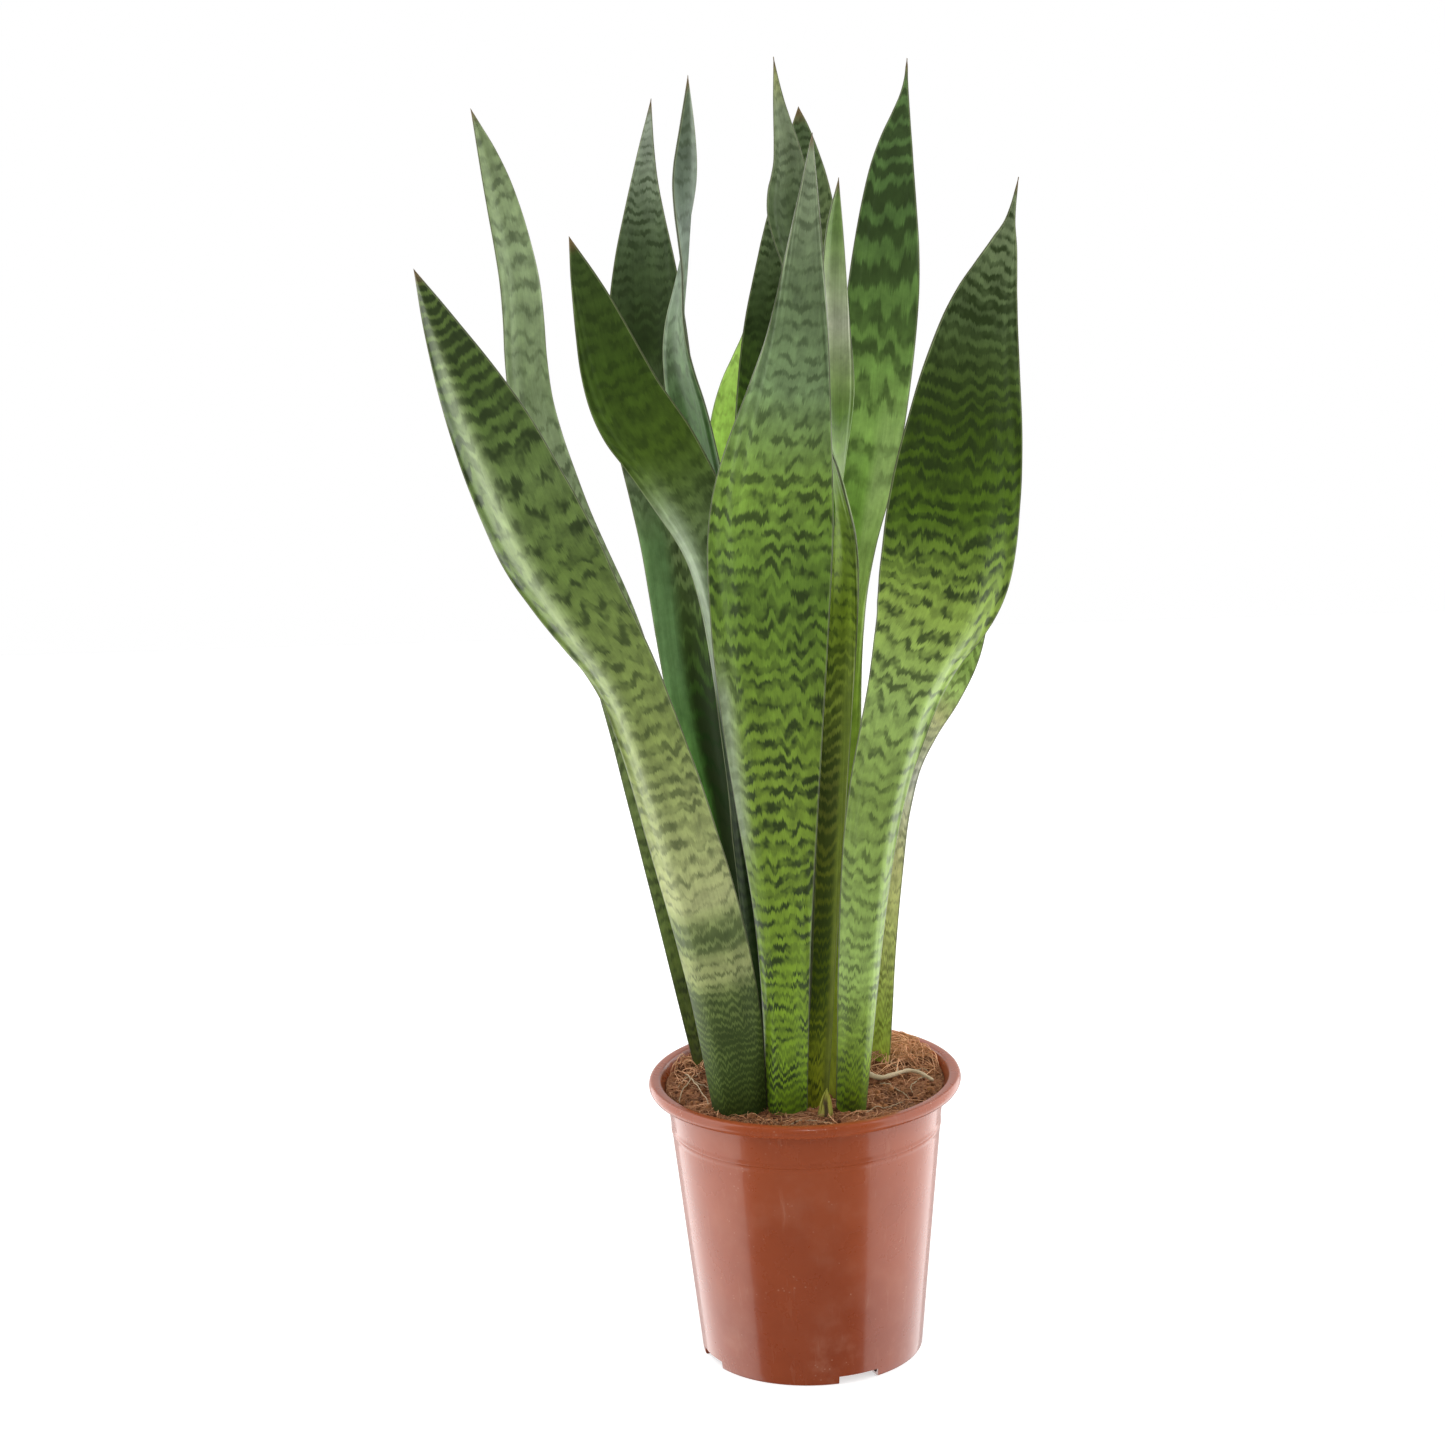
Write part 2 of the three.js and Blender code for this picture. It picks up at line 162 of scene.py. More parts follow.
def ripples(x, y, wavelength, seed, waves=9):
    """Uneven ground: the mean of cosines of about one wavelength that run in random directions."""
    random = np.random.default_rng(seed)
    turns = random.uniform(0, 2 * math.pi, (2, waves))
    stretch = random.uniform(0.75, 1.35, waves) * 2 * math.pi / wavelength
    run = x[..., None] * np.cos(turns[0]) * stretch + y[..., None] * np.sin(turns[0]) * stretch
    phase = run + turns[1]
    return np.cos(phase).mean(-1) * math.sqrt(waves / 2)


print("a ring of 4 points, twice:", ring_faces(2, 4).tolist())

# %% [markdown]
# ## Reading a leaf from the frame
#
# A CAD leaf is a stack of rings from its foot up to a single point at its tip, stored as loose
# triangles. Welding the corners and counting how many edges each one is from the tip sorts them
# back into rings. In each ring the two points that are farthest apart are the leaf's margins, and
# the rest say how deep the leaf is channelled, where its ridge runs and how thick it is.

# %% Measure a leaf
RING_POINTS = 10
RIDGE_PAIR = (3, 4)
MOST_RINGS = 40


def welded_corners(node):
    """The CAD node's corners with those in one place joined, and which joined corner each old one became."""
    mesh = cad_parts[node].data
    corners = np.empty(len(mesh.vertices) * 3)
    mesh.vertices.foreach_get("co", corners)
    return np.unique(corners.reshape(-1, 3).round(7), axis=0, return_inverse=True)


def cad_rings(node):
    """Rings of a CAD blade from foot to tip, by the number of edges from the tip, then the tip itself."""
    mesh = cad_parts[node].data
    points, where = welded_corners(node)
    ends = np.empty(len(mesh.edges) * 2, int)
    mesh.edges.foreach_get("vertices", ends)
    a, b = where.ravel()[ends.reshape(-1, 2)].T
    steps = np.full(len(points), len(points))
    steps[points[:, 2].argmax()] = 0
    for _ in range(MOST_RINGS):
        np.minimum.at(steps, a, steps[b] + 1)
        np.minimum.at(steps, b, steps[a] + 1)
    rings = [points[steps == step] for step in range(steps.max() - 1, 0, -1)]
    return np.stack(rings), points[points[:, 2].argmax()]


def cad_blade(node):
    """For each ring: the middle between the margins, the way across, the width, how deep the channel is,
    where its ridge runs and how thick it is."""
    rings, tip = cad_rings(node)
    count = np.arange(len(rings))
    gaps = np.linalg.norm(rings[:, :, None] - rings[:, None], axis=-1)
    apart = gaps.reshape(len(rings), -1).argmax(1)
    one, other = rings[count, apart // RING_POINTS], rings[count, apart % RING_POINTS]
    middle = (one + other) / 2
    path = np.vstack([middle, tip])
    along = np.gradient(path, axis=0)[:-1]
    bulge = rings.mean(1) - middle
    turned = np.sum(np.cross(other - one, along) * bulge, 1) < 0
    across = np.where(turned[:, None], one - other, other - one)
    width = np.linalg.norm(across, axis=1)
    across /= width[:, None]
    outward = np.cross(across, along)
    outward /= np.linalg.norm(outward, axis=1)[:, None]
    reach = np.einsum("rpk,rk->rp", rings - middle[:, None], across)
    pair = rings[count[:, None], reach.argsort(1)[:, RIDGE_PAIR]]
    crest = pair.mean(1) - middle
    ridge = np.sum(crest * across, 1) / (width / 2)
    return {
        "middle": path,
        "across": np.vstack([across, across[-1]]),
        "width": np.append(width, 0.0),
        "depth": np.append(np.sum(crest * outward, 1), 0.0),
        "ridge": np.append(ridge, ridge[-1]),
        "thick": np.append(np.linalg.norm(pair[:, 0] - pair[:, 1], axis=1) / (1 - ridge**2), 0.0),
    }


LEAF_NODES = sorted(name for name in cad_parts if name.startswith("leaf_"))
blades = {name: cad_blade(name) for name in LEAF_NODES + ["basal_sheath"]}
for name, blade in blades.items():
    print(f"{name}: {len(blade['width'])} rings, widest {blade['width'].max() / MM:.0f} mm")

# %% [markdown]
# ## The look of each leaf
#
# Snake plant leaves differ in tone from foot to tip: yellow-green where they leave the soil, full
# green in the middle and grey-green or dark at the top. Dark zigzag bands cross them. Each leaf has a
# few lists of stops. The first number of a stop is its place, from 0 at the soil to 1 at the tip.
#
# - tone: the ground colour, as red, green and blue from 0 to 255. On some leaves it also holds painted
#   light: darker stops where a leaf lies in shade (left folded, rear dark) and paler ones where it is
#   lit from behind (rear bright, rear right).
# - apart, cover, ink: how far apart the bands are in millimetres, how much of the surface they
#   cover and how dark they are. jag says how far they zigzag and how combed they look.
# - relief: what share of the channel's depth is left, where a leaf is flatter than its frame.
# - gloss: how much of the wax shows.
# - flank_painted_light_and_tone: a tone in a strip beside the ridge, on the face turned to the front,
#   with how much it takes over as its fifth number; the bands fade under it. On most leaves it is
#   painted light: a pale sheen strip as a painted highlight, and a bright lit flank on the rear dark
#   leaf. On the narrow twisted leaf it is a plainer face tone. flank_side is -1 for left and 1 for
#   right, and flank_from and flank_wide say where the strip begins and ends, in half widths of the
#   leaf from its ridge.
# - front_painted_light: how many times as light the face turned to the front is painted, as painted light on
#   that face.

# %% Tones and bands of each leaf
LOOKS = {
    "leaf_front_left": {
        "tone": [(0, 70, 88, 34), (0.14, 92, 108, 54), (0.165, 140, 148, 94), (0.185, 136, 145, 90),
                 (0.205, 104, 120, 66), (0.225, 118, 132, 76), (0.25, 160, 166, 112),
                 (0.45, 128, 145, 72), (0.65, 95, 119, 47), (0.75, 99, 123, 58), (0.85, 79, 105, 38),
                 (1, 81, 101, 43)],
        "apart": [(0, 4.2), (0.1, 4.6), (0.16, 6), (0.22, 9), (0.5, 10), (0.62, 18), (0.78, 16),
                  (0.88, 8), (1, 5)],
        "cover": [(0, 0.74), (0.12, 0.66), (0.145, 0.6), (0.165, 0.15), (0.185, 0.2), (0.2, 0.72),
                  (0.225, 0.6), (0.24, 0.05), (0.265, 0.05), (0.29, 0.46), (0.5, 0.46), (0.62, 0.36),
                  (0.75, 0.44), (0.88, 0.56), (1, 0.66)],
        "gloss": [(0, 0), (0.15, 0.3), (0.4, 0.8), (1, 1)],
        "jag": [(0, 1), (0.2, 0.9), (0.3, 0.75), (0.5, 0.65), (0.62, 0.45), (0.78, 0.45), (0.88, 0.6),
                (1, 0.6)],
        "ink": [(0, 0.8), (0.14, 0.7), (0.2, 0.6), (0.5, 0.66), (0.65, 0.85), (1, 0.9)],
        # painted highlight: a pale sheen strip down the left flank
        "flank_painted_light_and_tone": [(0, 150, 158, 110, 0), (0.3, 178, 186, 136, 0.25), (0.55, 184, 196, 158, 0.5),
                  (0.9, 184, 196, 158, 0.5), (1, 150, 158, 110, 0)],
        "flank_side": -1, "flank_from": -0.05, "flank_wide": 0.45,
    },
    "leaf_rear_left": {
        "tone": [(0, 96, 112, 40), (0.15, 128, 150, 70), (0.35, 140, 160, 96), (0.55, 140, 156, 116),
                 (0.7, 134, 154, 108), (0.85, 148, 168, 121), (1, 124, 142, 94)],
        "apart": [(0, 6), (0.5, 10), (0.8, 14), (1, 7)],
        "cover": [(0, 0.45), (0.5, 0.35), (0.7, 0.3), (0.85, 0.22), (1, 0.4)],
        "gloss": [(0, 0.5), (1, 0.6)],
        "jag": [(0, 0.6), (1, 0.6)],
        "ink": [(0, 0.6), (0.6, 0.6), (0.75, 0.5), (1, 0.6)],
    },
    "leaf_left_folded": {
        # painted shade: the stops up to 0.35 are near black where the lower leaf lies in shade
        "tone": [(0, 23, 40, 5), (0.15, 24, 42, 6), (0.25, 13, 28, 2), (0.35, 15, 28, 4),
                 (0.55, 66, 94, 36), (0.65, 106, 127, 75), (0.75, 72, 95, 30), (0.85, 59, 81, 25),
                 (1, 58, 75, 35)],
        "apart": [(0, 6), (0.4, 9), (0.7, 12), (0.9, 10), (1, 5)],
        "cover": [(0, 0.5), (0.45, 0.5), (0.6, 0.55), (0.75, 0.4), (1, 0.45)],
        "relief": [(0, 1), (0.6, 1), (0.72, 0.25), (1, 0.25)],
        "gloss": [(0, 0), (0.4, 0.1), (0.5, 1), (0.62, 0.8), (0.72, 0), (1, 0)],
        "jag": [(0, 1), (0.6, 0.6), (1, 0.6)],
        "ink": [(0, 0.6), (0.6, 0.7), (0.75, 0.55), (1, 0.6)],
        # painted highlight: a pale silver strip on the left flank
        "flank_painted_light_and_tone": [(0.45, 100, 116, 86, 0), (0.53, 124, 140, 110, 0.6), (0.6, 140, 156, 128, 0.75),
                  (0.68, 136, 152, 122, 0.65), (0.75, 100, 118, 78, 0)],
        "flank_side": -1, "flank_from": -0.2,
    },
    "leaf_rear_dark": {
        # painted shade: the dark stops up to 0.35 stand for shade low down on the leaf
        "tone": [(0, 28, 38, 12), (0.25, 33, 52, 14), (0.35, 24, 54, 3), (0.45, 79, 107, 41),
                 (0.55, 124, 142, 92), (0.65, 116, 128, 102), (0.75, 44, 62, 22), (0.85, 77, 95, 60),
                 (0.95, 146, 158, 136), (1, 163, 173, 157)],
        "apart": [(0, 8), (0.35, 16), (0.6, 12), (0.8, 7), (1, 4)],
        "cover": [(0, 0.7), (0.35, 0.66), (0.6, 0.5), (0.8, 0.45), (1, 0.2)],
        "gloss": [(0, 0.1), (1, 0.4)],
        "ink": [(0, 0.9), (1, 0.7)],
        # painted light: a bright green strip on the lit left flank
        "flank_painted_light_and_tone": [(0, 62, 100, 36, 1), (0.25, 80, 134, 48, 1), (0.42, 108, 146, 88, 1),
                  (0.55, 104, 138, 84, 1), (0.64, 90, 116, 70, 0)],
        "flank_side": -1, "flank_from": 0.25,
    },
    "leaf_slender_twisted": {
        "tone": [(0, 47, 78, 20), (0.65, 64, 98, 46), (0.75, 107, 128, 95), (0.85, 107, 122, 106),
                 (1, 92, 107, 82)],
        "apart": [(0, 7), (0.6, 12), (0.8, 10), (1, 6)],
        "cover": [(0, 0.4), (0.6, 0.35), (0.8, 0.25), (1, 0.3)],
        "gloss": [(0, 0.2), (0.6, 0.6), (1, 0.7)],
        "ink": [(0, 0.6), (1, 0.45)],
    },
    "leaf_front_centre": {
        "tone": [(0, 99, 133, 22), (0.05, 115, 148, 29), (0.25, 109, 136, 37), (0.35, 114, 141, 43),
                 (0.55, 97, 129, 38), (0.65, 121, 156, 53), (0.75, 117, 144, 93), (0.85, 98, 119, 78),
                 (1, 138, 151, 121)],
        "apart": [(0, 4.5), (0.12, 6.5), (0.3, 9.5), (0.5, 10.5), (0.7, 11), (0.85, 9), (1, 6)],
        "cover": [(0, 0.52), (0.12, 0.46), (0.35, 0.46), (0.5, 0.5), (0.65, 0.42), (0.78, 0.3), (1, 0.2)],
        "relief": [(0, 1), (0.5, 0.9), (0.75, 0.55), (1, 0.5)],
        "gloss": [(0, 0.4), (0.5, 0.4), (0.7, 1), (1, 1)],
        "jag": [(0, 0.9), (0.5, 0.75), (0.8, 0.65), (1, 0.6)],
        "ink": [(0, 0.95), (0.4, 0.92), (0.62, 0.82), (0.75, 0.55), (1, 0.5)],
        # painted highlight: a pale silver strip on the left flank
        "flank_painted_light_and_tone": [(0.22, 120, 138, 90, 0), (0.3, 162, 174, 156, 0.8), (0.44, 156, 168, 148, 0.8),
                  (0.52, 110, 136, 70, 0)],
        "flank_side": -1, "flank_from": 0.36,
    },
    "leaf_rear_bright": {
        # painted light: the bright tones and a front face 1.6 times as light stand for light from behind
        "tone": [(0, 104, 138, 50), (0.5, 132, 170, 66), (0.85, 151, 188, 81), (1, 156, 190, 96)],
        "apart": [(0, 8), (0.6, 12), (1, 7)],
        "cover": [(0, 0.3), (0.6, 0.14), (1, 0.1)],
        "gloss": [(0, 0.2), (1, 0.2)],
        "ink": [(0, 0.4), (1, 0.35)],
        "front_painted_light": 1.6,
    },
    "leaf_rear_tall": {
        "tone": [(0, 83, 102, 43), (0.85, 85, 103, 66), (0.95, 139, 153, 119), (1, 164, 166, 97)],
        "apart": [(0, 7), (0.6, 9), (1, 6)],
        "cover": [(0, 0.4), (0.7, 0.42), (0.88, 0.34), (0.95, 0.2), (1, 0.05)],
        "gloss": [(0, 0.3), (1, 0.5)],
        "ink": [(0, 0.7), (0.8, 0.7), (0.95, 0.4), (1, 0.2)],
    },
    "leaf_rear_olive": {
        "tone": [(0, 95, 123, 27), (0.75, 72, 102, 25), (0.85, 53, 71, 32), (0.95, 108, 125, 87),
                 (1, 114, 131, 96)],
        "apart": [(0, 7), (0.7, 8), (1, 5)],
        "cover": [(0, 0.5), (0.7, 0.56), (1, 0.4)],
        "gloss": [(0, 0.1), (1, 0.1)],
    },
    "leaf_rear_hidden": {
        "tone": [(0, 98, 112, 46), (0.85, 96, 110, 67), (1, 83, 103, 65)],
        "apart": [(0, 8), (0.7, 9), (1, 5)],
        "cover": [(0, 0.4), (0.8, 0.4), (1, 0.35)],
        "gloss": [(0, 0.3), (1, 0.3)],
    },
    "leaf_narrow_twisted": {
        "tone": [(0, 131, 141, 31), (0.05, 122, 133, 30), (0.15, 63, 77, 9), (0.25, 85, 94, 26),
                 (0.35, 86, 93, 38), (0.45, 126, 142, 54), (0.55, 108, 130, 34), (0.65, 117, 145, 49),
                 (0.75, 96, 130, 44), (0.85, 183, 188, 161), (0.95, 119, 151, 78), (1, 111, 138, 71)],
        "apart": [(0, 6), (0.3, 8), (0.6, 8), (1, 6)],
        "cover": [(0, 0.35), (0.12, 0.6), (0.5, 0.55), (0.62, 0.2), (0.72, 0), (0.92, 0), (1, 0.2)],
        "relief": [(0, 0.3), (0.5, 0.3), (0.65, 1), (1, 1)],
        "gloss": [(0, 0), (0.55, 0), (0.7, 1), (1, 1)],
        "ink": [(0, 0.8), (0.55, 0.8), (0.68, 0.3), (0.92, 0), (1, 0.4)],
        "flank_painted_light_and_tone": [(0, 84, 92, 26, 1), (0.3, 84, 96, 28, 1), (0.45, 88, 104, 34, 1),
                  (0.52, 96, 112, 42, 0)],
        "flank_from": 0.1,
    },
    "leaf_right_tall": {
        "tone": [(0, 146, 154, 46), (0.1, 138, 154, 44), (0.35, 122, 150, 46), (0.45, 130, 162, 54),
                 (0.55, 108, 148, 52), (0.65, 132, 168, 82), (0.75, 98, 132, 60), (0.85, 76, 106, 50),
                 (1, 84, 114, 60)],
        "apart": [(0, 12), (0.5, 20), (0.6, 22), (0.82, 22), (0.9, 12), (1, 7)],
        "cover": [(0, 0.15), (0.5, 0.12), (0.6, 0.25), (0.68, 0.5), (0.8, 0.6), (0.9, 0.62), (1, 0.5)],
        "relief": [(0, 0.5), (1, 0.5)],
        "gloss": [(0, 0.5), (1, 0.4)],
        "jag": [(0, 0.3), (0.7, 0.3), (0.9, 0.35), (1, 0.6)],
        "ink": [(0, 0.3), (0.55, 0.3), (0.64, 0.65), (0.85, 0.8), (1, 0.75)],
        # painted highlight: a pale strip on the right flank; the front face is also painted 1.12 times as
        # light
        "flank_painted_light_and_tone": [(0.4, 170, 196, 110, 0), (0.5, 190, 208, 144, 0.35), (0.6, 206, 220, 168, 0.4),
                  (0.66, 190, 208, 150, 0.2), (0.71, 170, 196, 110, 0)],
        "flank_side": 1, "flank_from": 0.45, "front_painted_light": 1.12,
    },
    "leaf_front_right": {
        "tone": [(0, 92, 121, 10), (0.05, 108, 137, 23), (0.15, 137, 165, 81), (0.35, 120, 146, 62),
                 (0.45, 143, 171, 86), (0.55, 135, 161, 65), (0.65, 75, 102, 24), (0.75, 57, 79, 17),
                 (0.85, 71, 89, 49), (0.95, 107, 122, 86), (1, 113, 126, 95)],
        "apart": [(0, 4.5), (0.15, 6.5), (0.35, 11), (0.55, 11.5), (0.7, 10), (0.85, 8), (1, 6)],
        "cover": [(0, 0.55), (0.12, 0.42), (0.3, 0.34), (0.5, 0.36), (0.62, 0.5), (0.75, 0.56),
                  (0.9, 0.52), (1, 0.35)],
        "relief": [(0, 1), (0.5, 1), (0.68, 0.45), (1, 0.45)],
        "gloss": [(0, 0.7), (0.3, 0.8), (0.5, 0.8), (0.66, 0), (1, 0.1)],
        "jag": [(0, 1), (0.2, 0.85), (0.45, 0.7), (0.7, 0.65), (1, 0.6)],
        "ink": [(0, 0.85), (0.15, 0.62), (0.4, 0.7), (0.58, 0.92), (1, 0.92)],
    },
    "leaf_rear_right": {
        # painted light: the pale stops from 0.15 to 0.55 and a front face 2.3 times as light stand for light
        # from behind
        "tone": [(0, 136, 154, 56), (0.15, 154, 178, 90), (0.3, 164, 182, 112), (0.45, 198, 208, 154),
                 (0.55, 172, 188, 124), (0.64, 120, 144, 72), (1, 104, 130, 60)],
        "apart": [(0, 5), (0.4, 8), (1, 6)],
        "cover": [(0, 0.3), (0.3, 0.3), (0.6, 0.35), (1, 0.4)],
        "gloss": [(0, 0.3), (1, 0.4)],
        "ink": [(0, 0.6), (0.3, 0.45), (0.55, 0.4), (0.7, 0.7), (1, 0.7)],
        "front_painted_light": 2.3,
    },
    "basal_sheath": {
        "tone": [(0, 152, 148, 74), (0.5, 156, 156, 62), (1, 142, 146, 54)],
        "apart": [(0, 30), (1, 30)],
        "cover": [(0, 0), (1, 0)],
    },
}


def stops(pairs, places):
    """Values read along straight lines between stops: the first number of each stop is its place."""
    table = np.array(pairs, float)
    return np.stack([np.interp(places, table[:, 0], column) for column in table[:, 1:].T], -1)


def to_linear(chart):
    """Paint-chart values from 0 to 255 as the linear light that a shader works in."""
    share = np.asarray(chart, float) / 255
    return np.where(share <= 0.04045, share / 12.92, ((share + 0.055) / 1.055) ** 2.4)


print("front centre leaf, half way up:", to_linear(stops(LOOKS["leaf_front_centre"]["tone"], 0.5)).round(3))

# %% [markdown]
# ## Leaf surfaces
#
# A leaf is a stiff blade, thick at the foot and thin towards the tip, channelled along its length
# and closed by a firm rounded rim. Its surface is one closed skin: columns run across the outer
# face and back across the inner one, crowded towards the margins so that the rim is truly round.
# The margins wander a little, as on a leaf that has grown. Each point also carries what the finish
# needs to know: its tone, how far it is along and across, and how many bands lie below it.

# %% Leaf builder
ACROSS_POINTS = 45
STEPS_PER_RING = 8
RIM_RADIUS = 0.5 * MM
WANDER = 0.7 * MM
SWAY_LENGTH, RIPPLE_LENGTH = 0.07, 0.035
NARROWEST, THINNEST = 0.5 * MM, 0.35 * MM
COLUMN_UNTIL, RIDGE_FADE = 0.12, 0.3
LENS_POWER = 2.2
NO_FLANK = [(0, 0, 0, 0, 0)]
FLANK_SOFT, FLANK_INK, WHOLE_SIDE = 0.3, 0.9, 9
PALEST = 0.86
EVEN = [(0, 1)]
USUAL_INK = [(0, 0.8), (1, 0.8)]
BANDS_SHIFT = 7.3
SOIL_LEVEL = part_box("soil")[1].z


def blade_skin(name, seed):
    """Points of the closed skin and what each one carries.
    Across the blade u runs from -1 to 1, and w is u's distance from the ridge as a share of the way to its
    margin. The middle sheet rises by depth * (1 - w^2) near the soil, a round column, and by
    depth * (1 + cos(pi w)) / 2 higher up, a soft ridge between flanks that flatten out. Each face lies half
    a thickness from the sheet: a lens that is fullest in the middle, plus the round of the rim."""
    blade = blades[name]
    rows = len(blade["width"]) - 1
    places = np.linspace(0, rows, rows * STEPS_PER_RING + 1)[:-1]
    middle = smooth_read(blade["middle"], places)
    across = smooth_read(blade["across"], places)
    along = np.gradient(middle, axis=0)
    along /= np.linalg.norm(along, axis=1)[:, None]
    across -= along * np.sum(across * along, 1)[:, None]
    across /= np.linalg.norm(across, axis=1)[:, None]
    outward = np.cross(across, along)
    half = np.maximum(smooth_read(blade["width"], places), NARROWEST)[:, None] / 2
    depth = smooth_read(blade["depth"], places)[:, None]
    ridge = smooth_read(blade["ridge"], places)[:, None]
    thick = np.maximum(smooth_read(blade["thick"], places), THINNEST)[:, None]
    run = np.append(0, np.cumsum(np.linalg.norm(np.diff(middle, axis=0), axis=1)))
    run = (run - np.interp(SOIL_LEVEL, middle[:, 2], run))[:, None]
    length = run[-1, 0] + np.linalg.norm(blade["middle"][-1] - middle[-1])
    share = np.clip(run / length, 0, 1)
    s = np.linspace(-1, 1, ACROSS_POINTS)
    u = np.concatenate([np.sin(s * math.pi / 2), np.sin(s[-2:0:-1] * math.pi / 2)])[None]
    inner = np.concatenate([np.zeros(ACROSS_POINTS), np.ones(ACROSS_POINTS - 2)])[None]
    lean = np.where(u < ridge, 1 + ridge, 1 - ridge)
    depth = depth * stops(LOOKS[name].get("relief", EVEN), share[:, 0])
    w = (u - ridge) / lean
    bell = np.clip((share - COLUMN_UNTIL) / RIDGE_FADE, 0, 1)
    sheet = depth * ((1 - bell) * (1 - w**2) + bell * (1 + np.cos(math.pi * w)) / 2)
    loose = np.clip(share * 5, 0, 1) * np.clip((1 - share) * 6, 0, 1)
    sway = ripples(run + 0.3 * u, 0 * run + u * 0.05, SWAY_LENGTH, seed, waves=5)
    sheet = sheet + WANDER * loose * u**2 * sway
    sheet = sheet + 0.3 * WANDER * loose * ripples(run + 0 * u, u * half, RIPPLE_LENGTH, seed + 50, waves=5)
    from_edge = (1 - np.abs(u)) * half
    rim = np.minimum(RIM_RADIUS, 0.4 * half)
    round_rim = np.sqrt(np.maximum(rim**2 - np.maximum(rim - from_edge, 0) ** 2, 0))
    lens = np.maximum(np.minimum(thick, 1.6 * half) / 2 - rim, 0) * (1 - np.abs(u) ** LENS_POWER)
    lift = sheet + (1 - 2 * inner) * (round_rim + lens)
    points = middle[:, None] + across[:, None] * (u * half)[..., None] + outward[:, None] * lift[..., None]
    carried = {
        "run": run,
        "share": share,
        "over": (u - ridge) * half,
        "edge": from_edge,
        "inner": inner,
        "front": inner if outward[:, 1].mean() > 0 else 1 - inner,
        "side": (u - ridge) * np.sign(across[:, 0].mean()),
        "left": length - run,
    }
    return points, {key: np.broadcast_to(value, points.shape[:2]) for key, value in carried.items()}


def make_blade(name, seed):
    """The skin as a mesh: rings of quads, closed by a fan at the foot and a point at the tip."""
    blade, look = blades[name], LOOKS[name]
    points, carried = blade_skin(name, seed)
    ends = np.stack([points[0].mean(0), blade["middle"][-1]])
    flat = {key: np.append(value, [value[0].mean(), value[-1].mean()]) for key, value in carried.items()}

    def listed(key, usual=EVEN):
        """What the leaf's list says at each point."""
        return stops(look.get(key, usual), flat["share"])

    # painted highlight and painted light: the flank strip paints pale sheen strips and a lit flank, and fades
    # the bands under them
    flank_painted_light_and_tone = listed("flank_painted_light_and_tone", NO_FLANK)
    beyond = look.get("flank_side", 1) * flat["side"][:, None] - look.get("flank_from", 0)
    still = look.get("flank_wide", WHOLE_SIDE) - beyond
    front = flat["front"][:, None]
    strip = np.clip(beyond / FLANK_SOFT + 0.5, 0, 1) * np.clip(still / FLANK_SOFT + 0.5, 0, 1)
    taken = flank_painted_light_and_tone[:, 3:] * strip * front
    tone = listed("tone") * (1 - taken) + flank_painted_light_and_tone[:, :3] * taken
    # painted light: on some leaves the face turned to the front is painted lighter than the face behind it
    painted_front_light = 1 + (look.get("front_painted_light", 1) - 1) * front
    places = np.linspace(0, 1, 400)
    steps = np.diff(places) / (stops(look["apart"], places)[1:, 0] * MM)
    bands = np.append(0, np.cumsum(steps)) * carried["left"][0, 0]
    values = {"blade_" + key: flat[key] for key in ("run", "over", "edge", "left", "inner")}
    values |= {
        "blade_bands": np.interp(flat["share"], places, bands) + BANDS_SHIFT * seed,
        "blade_cover": listed("cover")[:, 0],
        "blade_ink": listed("ink", USUAL_INK)[:, 0] * (1 - FLANK_INK * taken[:, 0]),
        "blade_jag": listed("jag")[:, 0],
        "blade_gloss": listed("gloss")[:, 0],
        "blade_tone": np.minimum(to_linear(tone) * painted_front_light, PALEST),
    }
    return closed_tube(name + "_skin", points, ends, values)


leaves = {name: make_blade(name, seed + 1) for seed, name in enumerate(LEAF_NODES)}
print("leaves:", len(leaves), "with", sum(len(leaf.data.polygons) for leaf in leaves.values()), "faces")

# %% [markdown]
# ## Building finishes from nodes
#
# A finish is a small graph of shader nodes. What a node puts out is held as a Value, and the signs
# + - * / between Values and numbers add a Math node each, so that a finish reads like a sum. A Value
# is linked to a socket, and anything else is set on the socket itself.


# %% Node helpers
class Value:
    """What a node puts out. Sums with it add Math nodes."""

    def __init__(self, tree, socket):
        self.tree, self.socket = tree, socket

    def __add__(self, other):
        return number(self.tree, "ADD", self, other)

    def __sub__(self, other):
        return number(self.tree, "SUBTRACT", self, other)

    def __rsub__(self, other):
        return number(self.tree, "SUBTRACT", other, self)

    def __mul__(self, other):
        return number(self.tree, "MULTIPLY", self, other)

    def __truediv__(self, other):
        return number(self.tree, "DIVIDE", self, other)

    __radd__, __rmul__ = __add__, __mul__


def give(tree, node, values):
    """Links each Value to the node's input of that name or number, or sets the input."""
    for key, value in values.items():
        if isinstance(value, Value):
            tree.links.new(value.socket, node.inputs[key])
        else:
            node.inputs[key].default_value = value


def add_node(tree, kind, values, out=0, **settings):
    """A shader node with its settings and its inputs, by name or in order. Returns one of its outputs."""
    node = tree.nodes.new("ShaderNode" + kind)
    for key, value in settings.items():
        setattr(node, key, value)
    give(tree, node, values if isinstance(values, dict) else dict(enumerate(values)))
    return Value(tree, node.outputs[out])


def outputs(tree, node):
    """All that a node puts out, by name."""
    return {socket.name: Value(tree, socket) for socket in node.outputs}


def number(tree, operation, *values):
    """A Math node."""
    return add_node(tree, "Math", values, operation=operation)


def attribute(tree, name, out="Fac"):
    """What the mesh carries under that name."""
    return add_node(tree, "Attribute", (), out, attribute_name=name)


def trio(tree, x, y, z):
    """Three numbers as one vector."""
    return add_node(tree, "CombineXYZ", (x, y, z))


